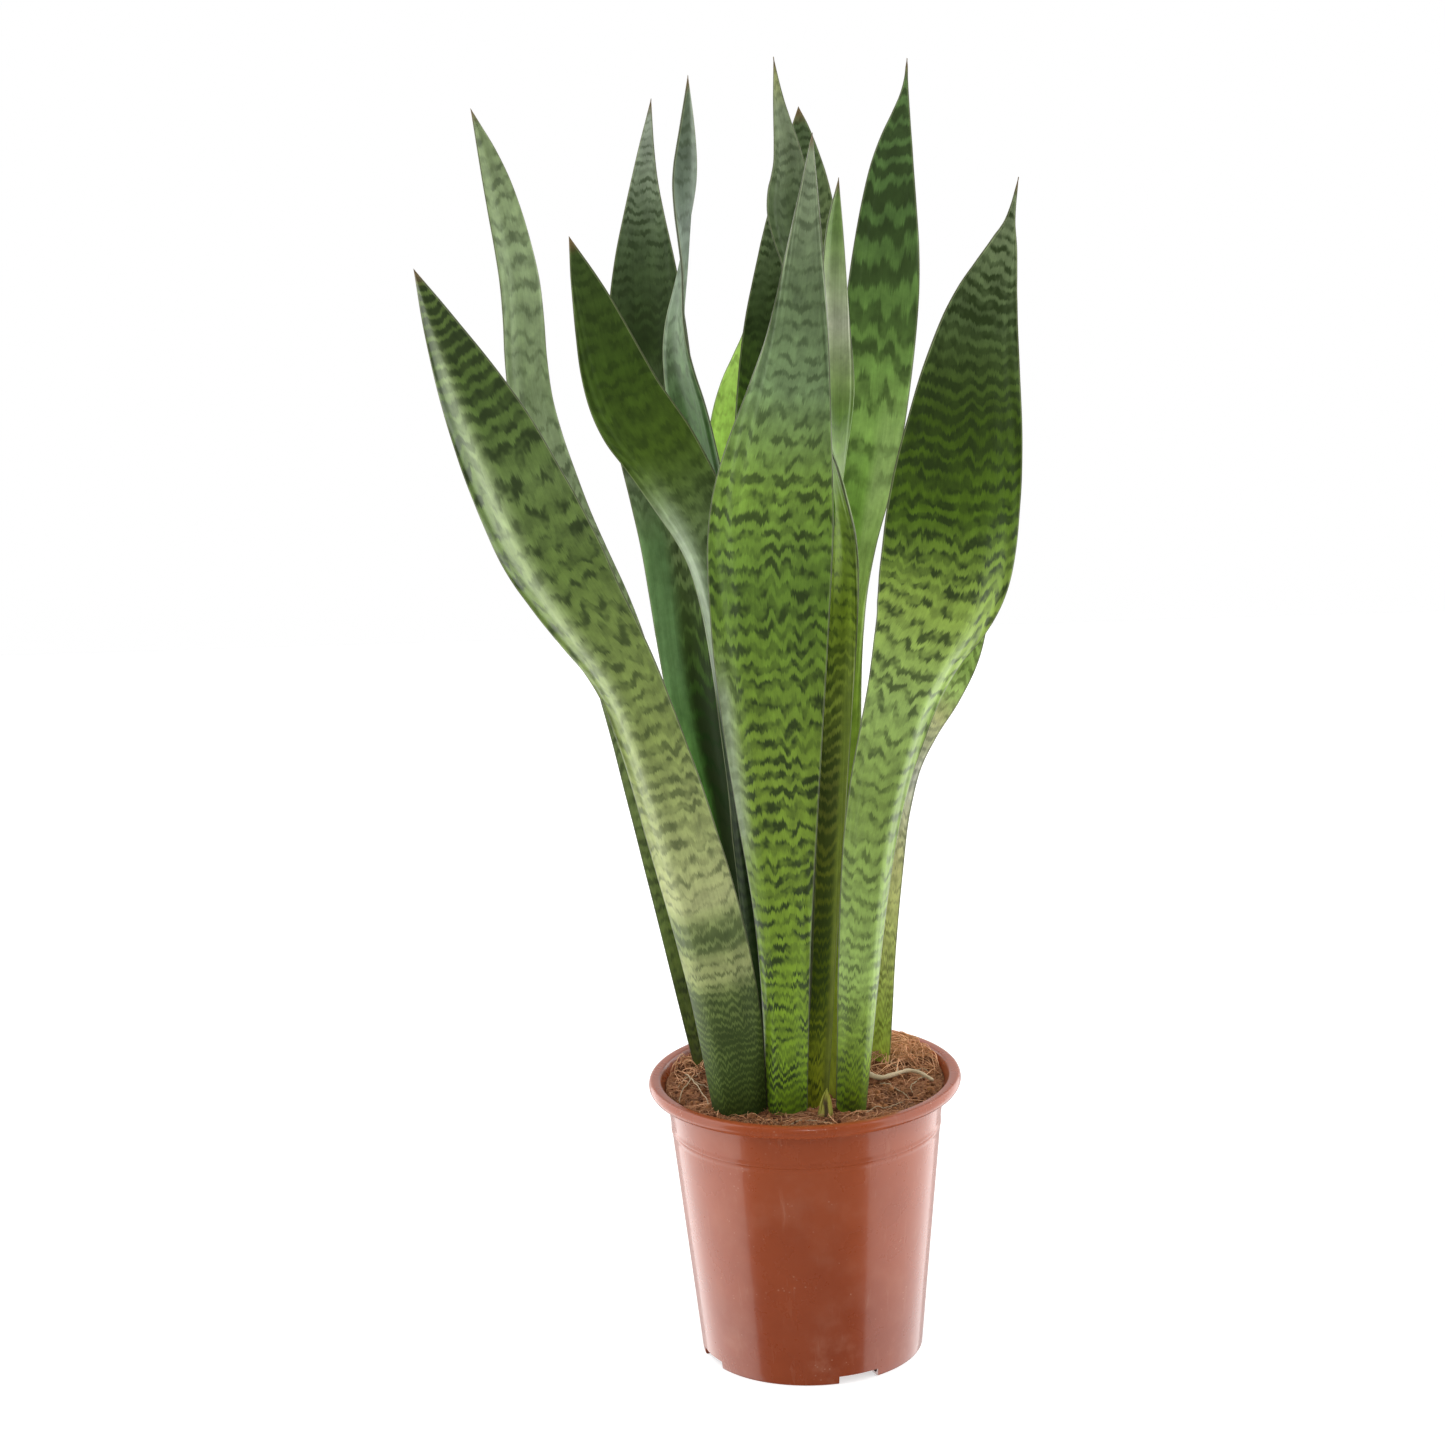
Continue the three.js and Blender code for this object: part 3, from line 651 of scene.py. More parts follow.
def parts_of(tree, vector):
    """The three numbers of a vector."""
    node = tree.nodes.new("ShaderNodeSeparateXYZ")
    give(tree, node, {0: vector})
    return list(outputs(tree, node).values())


def grain(tree, place, scale, detail=2.0, rough=0.5, distort=0.0):
    """A Noise Texture, about 0.5 in the middle."""
    values = {"Vector": place, "Scale": scale, "Detail": detail, "Roughness": rough, "Distortion": distort}
    return add_node(tree, "TexNoise", values, "Fac")


def step_between(tree, value, low, high):
    """A smooth step of value from 0 at low to 1 at high."""
    return add_node(tree, "MapRange", (value, low, high), interpolation_type="SMOOTHSTEP")


def blend(tree, share, first, second, how="MIX"):
    """A Mix node for colours."""
    values = {"Factor": share, "A": first, "B": second}
    return add_node(tree, "Mix", values, "Result", data_type="RGBA", blend_type=how)


def dimmed(tree, colour, light):
    """The colour times a number."""
    return blend(tree, 1.0, colour, trio(tree, light, light, light), "MULTIPLY")


def bump(tree, height, distance, strength=1.0):
    """A Bump node that raises the surface by height times distance."""
    return add_node(tree, "Bump", {"Strength": strength, "Distance": distance, "Height": height}, "Normal")


def object_place(tree):
    """Where a point is, in the frame's own metres."""
    return add_node(tree, "TexCoord", (), "Object")


def new_group(name, inputs, made):
    """An empty node group with these inputs and their usual values, and with these outputs. Returns its
    tree, its inputs by name and the node that takes its results."""
    tree = bpy.data.node_groups.new(name, "ShaderNodeTree")
    for label, usual in inputs.items():
        kind = "NodeSocketVector" if isinstance(usual, tuple) else "NodeSocketFloat"
        tree.interface.new_socket(label, in_out="INPUT", socket_type=kind).default_value = usual
    for label in made:
        tree.interface.new_socket(label, in_out="OUTPUT", socket_type="NodeSocketFloat")
    given = outputs(tree, tree.nodes.new("NodeGroupInput"))
    return tree, {label: given[label] for label in inputs}, tree.nodes.new("NodeGroupOutput")


def use_group(tree, group, **values):
    """Places a node group and sets or links its inputs. Returns its outputs by name."""
    node = tree.nodes.new("ShaderNodeGroup")
    node.node_tree = group
    give(tree, node, values)
    return outputs(tree, node)


def new_finish(name, roughness, specular, coat=0.0, coat_roughness=0.2):
    """A material with one Principled shader. Returns the material, its tree and the shader."""
    material = bpy.data.materials.new(name)
    material.use_nodes = True
    tree = material.node_tree
    shader = tree.nodes["Principled BSDF"]
    shader.inputs["Roughness"].default_value = roughness
    shader.inputs["Specular IOR Level"].default_value = specular
    shader.inputs["Coat Weight"].default_value = coat
    shader.inputs["Coat Roughness"].default_value = coat_roughness
    return material, tree, shader


print("node helpers ready")

# %% [markdown]
# ## Patterns that several finishes share
#
# The bands of a snake plant are not clean stripes: each one runs in a zigzag across the blade, and
# its edges are drawn out along the fibres, so it looks combed. The first group adds a zigzag, slow
# wanders and two combing noises to the count of bands and keeps the crests of a cosine. Near the
# soil the combing is stronger, so the bands there break up into a fine mottle. The second group gives
# the fibres and cloudy patches of anything that grows. The third gives specks, scuffs and dust, for
# plastic and dry skins.

# %% Shared node groups
ZIGZAG_WIDTH = 0.0052


def bands_group():
    """The mask of the bands, from 0 between them to 1 on them."""
    usual = {"Run": 0.0, "Over": 0.0, "Bands": 0.0, "Cover": 0.4, "Jag": 1.0}
    usual |= {"Zigzag": 0.3, "Comb": 0.9, "Breaks": 0.8}
    tree, given, result = new_group("combed bands", usual, ["Mask"])
    run, over, bands, cover, jag, zigzag, comb, breaks = given.values()
    apart = bands * 0.37

    def drawn(across, along, depth, detail=1.0):
        """Noise with so many features to the metre across and along, less its mean."""
        return grain(tree, trio(tree, over * across, run * along, depth), 1.0, detail, 0.6) - 0.5

    low = step_between(tree, run, 0.15, 0.03)
    slow = drawn(36.0, 14.0, 3.1)
    fold = number(tree, "PINGPONG", slow * 0.016 + over, ZIGZAG_WIDTH) / ZIGZAG_WIDTH
    total = fold * (zigzag * jag * (drawn(70.0, 45.0, 12.7) * 3.0 + 1.0)) + bands
    total += slow * (jag * 1.2 + 0.5)
    total += drawn(9.0, 24.0, 6.6) * 1.6
    total += drawn(210.0, 9.0, 2.2)
    total += drawn(850.0, 34.0, 8.4, 3.0) * ((low * 1.1 + comb) * jag)
    total += drawn(2400.0, 110.0, 5.7, 2.0) * (low * 0.8 + 0.4)
    crest = number(tree, "COSINE", total * (2 * math.pi)) * 0.5 + 0.5
    edge = 1.0 - cover - drawn(60.0, 40.0, apart, 2.0) * 1.6
    mask = step_between(tree, crest, edge - 0.4, edge + 0.24)
    patch = step_between(tree, drawn(150.0, 90.0, apart + 40.0, 2.0), -0.1, 0.1)
    gaps = (1.0 - patch) * (breaks * step_between(tree, cover, 0.66, 0.42))
    give(tree, result, {"Mask": mask * (1.0 - gaps)})
    return tree


def fibres_group():
    """Fine fibres, broad veins and clouds, each about 0.5 in the middle."""
    usual = {"Run": 0.0, "Over": 0.0, "Coarse": 1.0}
    tree, given, result = new_group("fibres and clouds", usual, ["Fibre", "Cloud", "Vein"])
    run, over, coarse = given.values()
    width = over * coarse
    give(tree, result, {
        "Fibre": grain(tree, trio(tree, width * 1700.0, run * 26.0, 1.3), 1.0),
        "Cloud": grain(tree, trio(tree, over * 140.0, run * 90.0, 9.2), 1.0, 4.0, 0.6),
        "Vein": grain(tree, trio(tree, width * 420.0, run * 5.0, 4.6), 1.0),
    })
    return tree


def wear_group():
    """Pale specks here and there, short upright scuffs, and drifts of dust."""
    usual = {"Place": (0.0, 0.0, 0.0), "Size": 1.0}
    tree, given, result = new_group("specks and scuffs", usual, ["Speck", "Scuff", "Dust"])
    at = add_node(tree, "VectorMath", {0: given["Place"], "Scale": given["Size"]}, operation="SCALE")
    cells = add_node(tree, "TexVoronoi", {"Vector": at, "Scale": 330.0}, "Distance")
    rare = step_between(tree, grain(tree, at, 60.0, 1.0), 0.56, 0.68)
    x, y, z = parts_of(tree, at)
    upright = trio(tree, x * 240.0, y * 240.0, z * 30.0)
    give(tree, result, {
        "Speck": step_between(tree, cells, 0.2, 0.08) * rare,
        "Scuff": step_between(tree, grain(tree, upright, 1.0, 3.0, 0.6, 0.4), 0.6, 0.78),
        "Dust": grain(tree, at, 38.0, 5.0, 0.62),
    })
    return tree


BANDS, FIBRES, WEAR = bands_group(), fibres_group(), wear_group()
print("groups:", [group.name for group in (BANDS, FIBRES, WEAR)])

# %% [markdown]
# ## The leaf finish
#
# A leaf is waxy: its colour sits under a thin clear skin that mirrors the soft boxes in broad pale
# strips. The tone that each point carries, painted light and shade included, is mottled by clouds and
# fibres, crossed by the dark bands, lined with a pale stripe just inside the rim, and dried to brown at
# the very tip. The inner face is painted 12% darker, as painted shade.

# %% Leaf material
BAND_GREEN = (0.019, 0.036, 0.0055, 1.0)
RIM_PALE = (0.36, 0.42, 0.2, 1.0)
RIM_DARK = (0.05, 0.05, 0.03, 1.0)
DRY_BROWN = (0.16, 0.1, 0.045, 1.0)
LEAF_ROUGHNESS, LEAF_SPECULAR = 0.55, 0.12
WAX, WAX_ROUGHNESS = 0.75, 0.4
BAND_SHAPE = {"Zigzag": 0.42, "Comb": 0.95, "Breaks": 0.7}


def leaf_finish():
    """Every leaf's finish, led by what the leaf's points carry."""
    material, tree, shader = new_finish("waxy_leaf", LEAF_ROUGHNESS, LEAF_SPECULAR, WAX, WAX_ROUGHNESS)
    keys = ("run", "over", "edge", "left", "inner", "bands", "cover", "ink", "jag", "gloss")
    read = [attribute(tree, "blade_" + key) for key in keys]
    run, over, edge, left, inner, bands, cover, ink, jag, gloss = read
    fibres = use_group(tree, FIBRES, Run=run, Over=over, Coarse=1.0)
    mask = use_group(tree, BANDS, Run=run, Over=over, Bands=bands, Cover=cover, Jag=jag, **BAND_SHAPE)["Mask"]
    light = fibres["Cloud"] * 1.2 + fibres["Fibre"] * 0.3 + fibres["Vein"] * 0.3 + 0.1
    colour = dimmed(tree, attribute(tree, "blade_tone", "Color"), light)
    colour = blend(tree, mask * ink, colour, BAND_GREEN)
    inside = step_between(tree, edge, 0.0010, 0.0007) * step_between(tree, run, 0.05, 0.2)
    colour = blend(tree, inside * 0.28, colour, RIM_PALE)
    colour = blend(tree, step_between(tree, edge, 0.0006, 0.0003) * 0.7, colour, RIM_DARK)
    dry = step_between(tree, left, 0.011, 0.002)
    colour = blend(tree, dry * 0.8, colour, DRY_BROWN)
    rough = fibres["Cloud"] * 0.16 + (LEAF_ROUGHNESS - 0.08) - mask * 0.05
    height = fibres["Vein"] * 0.7 + fibres["Fibre"] * 0.3 - mask * 0.12
    give(tree, shader, {
        # painted shade: the inner face is painted 12% darker
        "Base Color": dimmed(tree, colour, inner * -0.12 + 1.0),
        "Roughness": rough + (1.0 - gloss) * 0.3 + dry * 0.3,
        "Coat Weight": gloss * WAX,
        "Normal": bump(tree, height, 0.00022, 0.8),
    })
    return material


LEAF_FINISH = leaf_finish()
for name, leaf in leaves.items():
    leaf.data.materials.append(LEAF_FINISH)
    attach(leaf, "root")
    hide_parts(name)
print("waxy leaf finish on", len(leaves), "leaves")

# %% [markdown]
# ## The dry sheath
#
# At the foot of the narrow leaf sits a short scale, the dried first leaf of a shoot. It is made as
# a blade like the others, but papery, straw-coloured and split down its middle, where the brown
# inside shows.

# %% Sheath
SPLIT_WIDTH = 0.0011
SPLIT_BROWN = (0.05, 0.026, 0.014, 1.0)


def sheath_finish():
    """Papery straw, darker along a wandering split that closes above the foot."""
    material, tree, shader = new_finish("dry_sheath", 0.7, 0.3)
    run, over = attribute(tree, "blade_run"), attribute(tree, "blade_over")
    fibres = use_group(tree, FIBRES, Run=run, Over=over, Coarse=1.6)
    colour = dimmed(tree, attribute(tree, "blade_tone", "Color"), fibres["Fibre"] * 0.7 + 0.6)
    aside = number(tree, "ABSOLUTE", (fibres["Cloud"] - 0.5) * 0.004 + over)
    split = step_between(tree, aside, 1.6 * SPLIT_WIDTH, 0.6 * SPLIT_WIDTH)
    split = split * step_between(tree, run, 0.013, 0.008)
    give(tree, shader, {
        "Base Color": blend(tree, split * 0.9, colour, SPLIT_BROWN),
        "Normal": bump(tree, fibres["Fibre"] - split, 0.0003),
    })
    return material


sheath = make_blade("basal_sheath", 40)
sheath.data.materials.append(sheath_finish())
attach(sheath, "root")
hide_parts("basal_sheath")
print("sheath:", len(sheath.data.polygons), "faces")

# %% [markdown]
# ## The pot
#
# The pot is one thin moulding: a rolled lip, a straight collar that ends in a fine double bead, a
# wall that tapers to the foot, and a floor with a raised channel of drain holes. A lathe profile
# gives all of it. Each corner of the profile is rounded, then the profile is carried round the
# axis, and the foot notches and drain holes are cut from the result.

# %% Pot profile
POT_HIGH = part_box("pot")[1]
FOOT_RADIUS = 60.3 * MM
LONGEST_STEP = 4 * MM
POT_COLUMNS = 160


def rounded(corners, steps=5):
    """A profile in metres from corners (radius, height, rounding) in millimetres. Each corner is cut back by
    its rounding and joined by a parabola."""
    table = np.array(corners, float) * MM
    spots = table[:, :2]
    back = spots[:-2] - spots[1:-1]
    ahead = spots[2:] - spots[1:-1]
    room = 0.45 * np.minimum(np.linalg.norm(back, axis=1), np.linalg.norm(ahead, axis=1))
    cut = np.minimum(table[1:-1, 2], room)[:, None]
    start = spots[1:-1] + back / np.linalg.norm(back, axis=1)[:, None] * cut
    stop = spots[1:-1] + ahead / np.linalg.norm(ahead, axis=1)[:, None] * cut
    t = np.linspace(0, 1, steps)[None, :, None]
    curve = (1 - t) ** 2 * start[:, None] + 2 * t * (1 - t) * spots[1:-1, None] + t**2 * stop[:, None]
    return np.vstack([spots[:1], curve.reshape(-1, 2), spots[-1:]])


def filled(profile, longest):
    """The same profile with its long straights divided into steps no longer than that."""
    gaps = np.linalg.norm(np.diff(profile, axis=0), axis=1)
    parts = np.maximum(np.ceil(gaps / longest).astype(int), 1)
    start = np.repeat(np.arange(len(gaps)), parts)
    share = np.concatenate([np.arange(n) / n for n in parts])[:, None]
    return np.vstack([profile[start] * (1 - share) + profile[start + 1] * share, profile[-1:]])


lip, top = POT_HIGH.x / MM, POT_HIGH.z / MM
POT_CORNERS = [
    (0.001, 0, 0), (34, 0, 2), (36.5, 5, 2), (49.5, 5, 2), (52, 0, 2), (60.3, 0, 1.2),
    (72.9, 126.8, 1), (73.35, 128.4, 0.6), (73.4, 129.5, 0.3), (73.2, 130, 0.2), (73.4, 130.5, 0.3),
    (73.4, 131.6, 0.6), (73.35, 132.6, 1), (75.4, 148.4, 0.8), (76.2, 149.8, 0.8), (lip - 1.8, 150.2, 1.4),
    (lip, 153.4, 3.2), (lip - 1.2, top, 2.6), (78.6, top - 0.3, 1.2), (77.0, 154.0, 2.0), (74.2, 148.8, 1.6),
    (71.9, 132.0, 1), (71.3, 127.0, 1), (59.0, 1.4, 2), (52.9, 1.4, 2), (50.4, 6.4, 2), (35.6, 6.4, 2),
    (33.1, 1.4, 2), (0.001, 1.4, 0),
]
pot_profile = filled(rounded(POT_CORNERS), LONGEST_STEP)
print(f"pot profile: {len(pot_profile)} points; lip {lip:.1f} mm out and {top:.1f} mm high")

# %% [markdown]
# The profile is turned round the axis as rings of points, and the two places where it meets the
# axis are closed with a fan. The notches and holes are cut with one Boolean modifier. Its result
# is taken as a plain mesh, so that nothing live is left on the pot.


# %% Turn and cut the pot
def turned(name, profile, columns):
    """A lathe surface: each profile point (r, z) becomes a ring (r cos a, r sin a, z), and the first and last
    points are where it closes on the axis."""
    a = np.linspace(0, 2 * math.pi, columns, endpoint=False)[None]
    r, z = profile[1:-1, :1], profile[1:-1, 1:]
    ends = np.array([[0, 0, profile[0, 1]], [0, 0, profile[-1, 1]]])
    return closed_tube(name, np.stack([r * np.cos(a), r * np.sin(a), z + 0 * a], -1), ends)


def prisms(name, outlines, low, high):
    """Upright closed prisms, one over each outline (an array of corners in x and y)."""
    points, quads, triangles, first = [], [], [], 0
    for outline in outlines:
        n = len(outline)
        level = [np.column_stack([outline, np.full(n, z)]) for z in (low, high)]
        points += [*level, level[0].mean(0)[None], level[1].mean(0)[None]]
        quads.append(ring_faces(2, n, first))
        ring = np.arange(n) + first
        triangles += [fan_faces(ring, first + 2 * n, True), fan_faces(ring + n, first + 2 * n + 1)]
        first += 2 * n + 2
    return make_piece(name, np.vstack(points), np.vstack(quads), np.vstack(triangles))


def cut(piece, cutter):
    """The piece less the cutter, as a plain mesh. The cutter is used up."""
    modifier = piece.modifiers.new("cut", "BOOLEAN")
    modifier.operation = "DIFFERENCE"
    modifier.object = cutter
    modifier.solver = "MANIFOLD"
    bpy.context.view_layer.update()
    done = bpy.data.meshes.new_from_object(piece.evaluated_get(bpy.context.evaluated_depsgraph_get()))
    piece.modifiers.clear()
    piece.data = done
    bpy.data.objects.remove(cutter)


NOTCH_WIDTH, NOTCH_HEIGHT, NOTCH_INSIDE = 23 * MM, 4.5 * MM, 49.5 * MM
NOTCH_OUTSIDE = FOOT_RADIUS + 2 * MM
NOTCH_DEGREES = [-66, 24, 114, 204]
HOLE_RADIUS, HOLE_CIRCLE, HOLES, HOLE_SIDES = 4 * MM, 43 * MM, 8, 24
SHARP_DEGREES = 40

pot = turned("pot_moulding", pot_profile, POT_COLUMNS)
notches = []
for turn in np.radians(NOTCH_DEGREES):
    out, side = np.array([math.cos(turn), math.sin(turn)]), np.array([-math.sin(turn), math.cos(turn)])
    reach = [(NOTCH_INSIDE, -1), (NOTCH_OUTSIDE, -1), (NOTCH_OUTSIDE, 1), (NOTCH_INSIDE, 1)]
    notches.append(np.array([out * r + side * s * NOTCH_WIDTH / 2 for r, s in reach]))
cut(pot, prisms("notch_cutter", notches, -2 * MM, NOTCH_HEIGHT))
circle = np.linspace(0, 2 * math.pi, HOLE_SIDES, endpoint=False)[:, None]
hole = HOLE_RADIUS * np.hstack([np.cos(circle), np.sin(circle)])
centres = [(i + 0.5) / HOLES * 2 * math.pi for i in range(HOLES)]
holes = [hole + HOLE_CIRCLE * np.array([math.cos(a), math.sin(a)]) for a in centres]
cut(pot, prisms("hole_cutter", holes, 2 * MM, 9 * MM))
pot.data.shade_smooth()
pot.data.set_sharp_from_angle(angle=math.radians(SHARP_DEGREES))
print("pot:", len(pot.data.polygons), "faces, box", [round(x, 4) for x in pot.dimensions])

# %% [markdown]
# ## The pot's finish
#
# Nursery pots are thin brown plastic with a satin skin. Close up the colour is slightly cloudy, and
# the skin shows pale specks, short upright scuffs from stacking and a breath of dust towards the
# foot. The gloss is uneven too, so the edges of reflected lights are not ruler-straight.

# %% Pot material
POT_BROWN = (0.290, 0.060, 0.018, 1.0)
POT_DEEP = (0.195, 0.033, 0.009, 1.0)
DUST_PALE = (0.50, 0.27, 0.18, 1.0)


def pot_finish():
    """Cloudy brown plastic, deeper towards the foot, with specks, scuffs and a little dust."""
    material, tree, shader = new_finish("satin_pot_plastic", 0.3, 0.35, 0.25, 0.09)
    place = object_place(tree)
    wear = use_group(tree, WEAR, Place=place, Size=1.0)
    height = parts_of(tree, place)[2]
    cloudy = step_between(tree, grain(tree, place, 22.0, 4.0, 0.6), 0.3, 0.7)
    deep = step_between(tree, height, 0.13, 0.01) * 0.45 + cloudy * 0.35
    foot = step_between(tree, height, 0.045, 0.0) * 0.14 + 0.07
    dusty = step_between(tree, wear["Dust"], 0.5, 0.72) * foot
    marks = number(tree, "MAXIMUM", wear["Speck"] * 0.4, wear["Scuff"] * 0.13)
    colour = blend(tree, dusty, blend(tree, deep, POT_BROWN, POT_DEEP), DUST_PALE)
    skin = grain(tree, place, 900.0) * 0.12 + wear["Scuff"] * 0.4
    give(tree, shader, {
        "Base Color": blend(tree, marks, colour, DUST_PALE),
        "Roughness": wear["Dust"] * 0.12 + marks * 0.5 + 0.22,
        "Normal": bump(tree, skin, 0.00008, 0.7),
    })
    return material


pot.data.materials.clear()
pot.data.materials.append(pot_finish())
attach(pot, "root")
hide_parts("pot")
print("pot finish on")

# %% [markdown]
# ## The soil
#
# Potting compost is peat and coir: a lumpy bed with crumbs on top and a mat of loose brown fibres.
# The bed is a closed drum whose top is a polar grid lifted by waves of several sizes. Crumbs and
# fibres are hundreds of small shapes, so each has only a few faces, and all of a kind are one mesh.

# %% Soil bed
SOIL_EDGE = SOIL_LEVEL - 0.2 * MM
SOIL_SINK = 0.3 * MM
SOIL_RADIUS = 75.6 * MM
SOIL_WALL = [(73.9, 148.6), (71.6, 131), (70.6, 124), (66.0, 78), (59.6, 9.5), (58.6, 7.2)]
LUMPS = ((0.7, 34, 11), (0.6, 13, 12), (0.4, 5, 13), (0.22, 2.2, 14))
TUFT_CENTRE = (0.052, 0.040)
TUFT_RISE, TUFT_SPREAD = 3.6 * MM, 15 * MM


def soil_height(x, y):
    """The dome from edge to middle, a mound under the tuft, and lumps: waves of 34, 13, 5 and 2.2 mm, each
    lower than the one before."""
    share = np.clip(np.hypot(x, y) / SOIL_RADIUS, 0, 1)
    dome = SOIL_EDGE + (SOIL_LEVEL - SOIL_EDGE) * (1 - share**2)
    far = (x - TUFT_CENTRE[0]) ** 2 + (y - TUFT_CENTRE[1]) ** 2
    dome = dome + TUFT_RISE * np.exp(-far / (2 * TUFT_SPREAD**2))
    lumps = sum(height * MM * ripples(x, y, size * MM, seed) for height, size, seed in LUMPS)
    return dome + lumps - SOIL_SINK


def make_soil():
    """Rings from the middle out to the wall, then down the wall to the bottom."""
    a = np.linspace(0, 2 * math.pi, 220, endpoint=False)[None]
    r = (np.linspace(0.004, 1, 80) ** 0.85 * SOIL_RADIUS)[:, None]
    x, y = r * np.cos(a), r * np.sin(a)
    surface = np.stack([x, y, soil_height(x, y)], -1)
    q, z = (np.array(SOIL_WALL) * MM).T[..., None]
    sides = np.stack([q * np.cos(a), q * np.sin(a), z + 0 * a], -1)
    ends = np.array([[0, 0, SOIL_WALL[-1][1] * MM], [0, 0, soil_height(np.zeros(1), np.zeros(1))[0]]])
    return closed_tube("soil_bed", np.concatenate([surface, sides])[::-1], ends)


soil = make_soil()
print("soil:", len(soil.data.polygons), "faces")

# %% [markdown]
# A crumb is a small ball of twenty faces pushed out of shape. A fibre is a three-sided thread bent
# along a parabola, whose two ends are closed. Both kinds are laid out in whole arrays: one row per
# crumb or fibre.

# %% Crumbs and fibres
FIBRE_RADII = (0.09, 0.2)
FIBRE_TAPER = (0.7, 1, 1, 1, 1, 0.8, 0.4)
GOLDEN = (1 + 5**0.5) / 2
BALL_POINTS = np.array([
    (-1, GOLDEN, 0), (1, GOLDEN, 0), (-1, -GOLDEN, 0), (1, -GOLDEN, 0), (0, -1, GOLDEN), (0, 1, GOLDEN),
    (0, -1, -GOLDEN), (0, 1, -GOLDEN), (GOLDEN, 0, -1), (GOLDEN, 0, 1), (-GOLDEN, 0, -1), (-GOLDEN, 0, 1),
]) / math.hypot(1, GOLDEN)
BALL_FACES = np.array([
    (0, 11, 5), (0, 5, 1), (0, 1, 7), (0, 7, 10), (0, 10, 11), (1, 5, 9), (5, 11, 4), (11, 10, 2), (10, 7, 6),
    (7, 1, 8), (3, 9, 4), (3, 4, 2), (3, 2, 6), (3, 6, 8), (3, 8, 9), (4, 9, 5), (2, 4, 11), (6, 2, 10),
    (8, 6, 7), (9, 8, 1),
])


def make_crumbs(name, count, seed):
    """Balls pushed out of shape: each corner's distance varies from 0.75 to 1.2, and each ball is stretched
    its own way."""
    random = np.random.default_rng(seed)
    angle, share = random.uniform(0, 2 * math.pi, count), random.uniform(0.05, 0.97, count) ** 0.5
    x, y = SOIL_RADIUS * share * np.cos(angle), SOIL_RADIUS * share * np.sin(angle)
    size = random.lognormal(math.log(0.75), 0.45, count).clip(0.35, 2.2) * MM
    stretch = random.uniform(0.6, 1.5, (count, 1, 3))
    shape = BALL_POINTS[None] * random.uniform(0.75, 1.2, (count, 12, 1)) * stretch * size[:, None, None]
    centre = np.stack([x, y, soil_height(x, y) + 0.25 * size], -1)
    faces = (BALL_FACES[None] + 12 * np.arange(count)[:, None, None]).reshape(-1, 3)
    tint = np.repeat(random.uniform(0, 1, count), 12)
    points = centre[:, None] + shape
    return make_piece(name, points, np.zeros((0, 4), int), faces, {"bit_tint": tint}, flat=True)


def make_threads(name, paths, radii, sides, tint):
    """Tubes round many paths at once, shaped (thread, step, xyz), with their ends closed."""
    count, steps = paths.shape[:2]
    ahead = np.gradient(paths, axis=1)
    ahead /= np.linalg.norm(ahead, axis=-1, keepdims=True)
    reference = np.where(np.abs(ahead[..., 2:]) < 0.9, (0.0, 0.0, 1.0), (1.0, 0.0, 0.0))
    one = np.cross(reference, ahead)
    one /= np.linalg.norm(one, axis=-1, keepdims=True)
    two = np.cross(ahead, one)
    a = np.linspace(0, 2 * math.pi, sides, endpoint=False)[:, None]
    round_it = np.cos(a) * one[:, :, None] + np.sin(a) * two[:, :, None]
    rings = paths[:, :, None] + radii[..., None, None] * round_it
    points = np.concatenate([rings.reshape(count, -1, 3), paths[:, :1], paths[:, -1:]], 1)
    stride = steps * sides + 2
    ring = np.arange(sides)
    caps = np.vstack([fan_faces(ring, stride - 2, True), fan_faces(ring + (steps - 1) * sides, stride - 1)])
    jump = stride * np.arange(count)[:, None, None]
    quads = (ring_faces(steps, sides)[None] + jump).reshape(-1, 4)
    triangles = (caps[None] + jump).reshape(-1, 3)
    return make_piece(name, points, quads, triangles, {"bit_tint": np.repeat(tint, stride)})


def lying_paths(start, heading, length, bend, arch, steps):
    """Parabolas over the soil: each thread goes its length along its heading, swerves by bend, arches by
    arch and stays inside the pot."""
    t = np.linspace(0, 1, steps)[None]
    forth = length[:, None] * t
    aside = bend[:, None] * (t - t**2) * 4
    x = start[:, :1] + np.cos(heading)[:, None] * forth - np.sin(heading)[:, None] * aside
    y = start[:, 1:] + np.sin(heading)[:, None] * forth + np.cos(heading)[:, None] * aside
    far = np.maximum(np.hypot(x, y) / (SOIL_RADIUS - 1.2 * MM), 1)
    x, y = x / far, y / far
    z = soil_height(x, y) + 0.3 * MM + arch[:, None] * (t - t**2) * 4
    return np.stack([x, y, z], -1)


def scattered_fibres(name, count, seed, centre=(0.0, 0.0), reach=SOIL_RADIUS * 0.95, lengths=(6, 24),
                     arches=(0, 2.5), tint=(0, 1), thick=1.0):
    """Threads that start anywhere within reach of the centre and head anywhere. Lengths and arches are in
    millimetres."""
    random = np.random.default_rng(seed)
    angle, share = random.uniform(0, 2 * math.pi, count), random.uniform(0.0, 1, count) ** 0.5
    start = np.array(centre) + (reach * share * np.stack([np.cos(angle), np.sin(angle)])).T
    length = random.uniform(*lengths, count) * MM
    bend = random.uniform(-0.3, 0.3, count) * length
    arch = random.uniform(*arches, count) * MM
    paths = lying_paths(start, random.uniform(0, 2 * math.pi, count), length, bend, arch, len(FIBRE_TAPER))
    radii = thick * random.uniform(*FIBRE_RADII, count)[:, None] * MM * np.array(FIBRE_TAPER)
    return make_threads(name, paths, radii, 3, random.uniform(*tint, count))


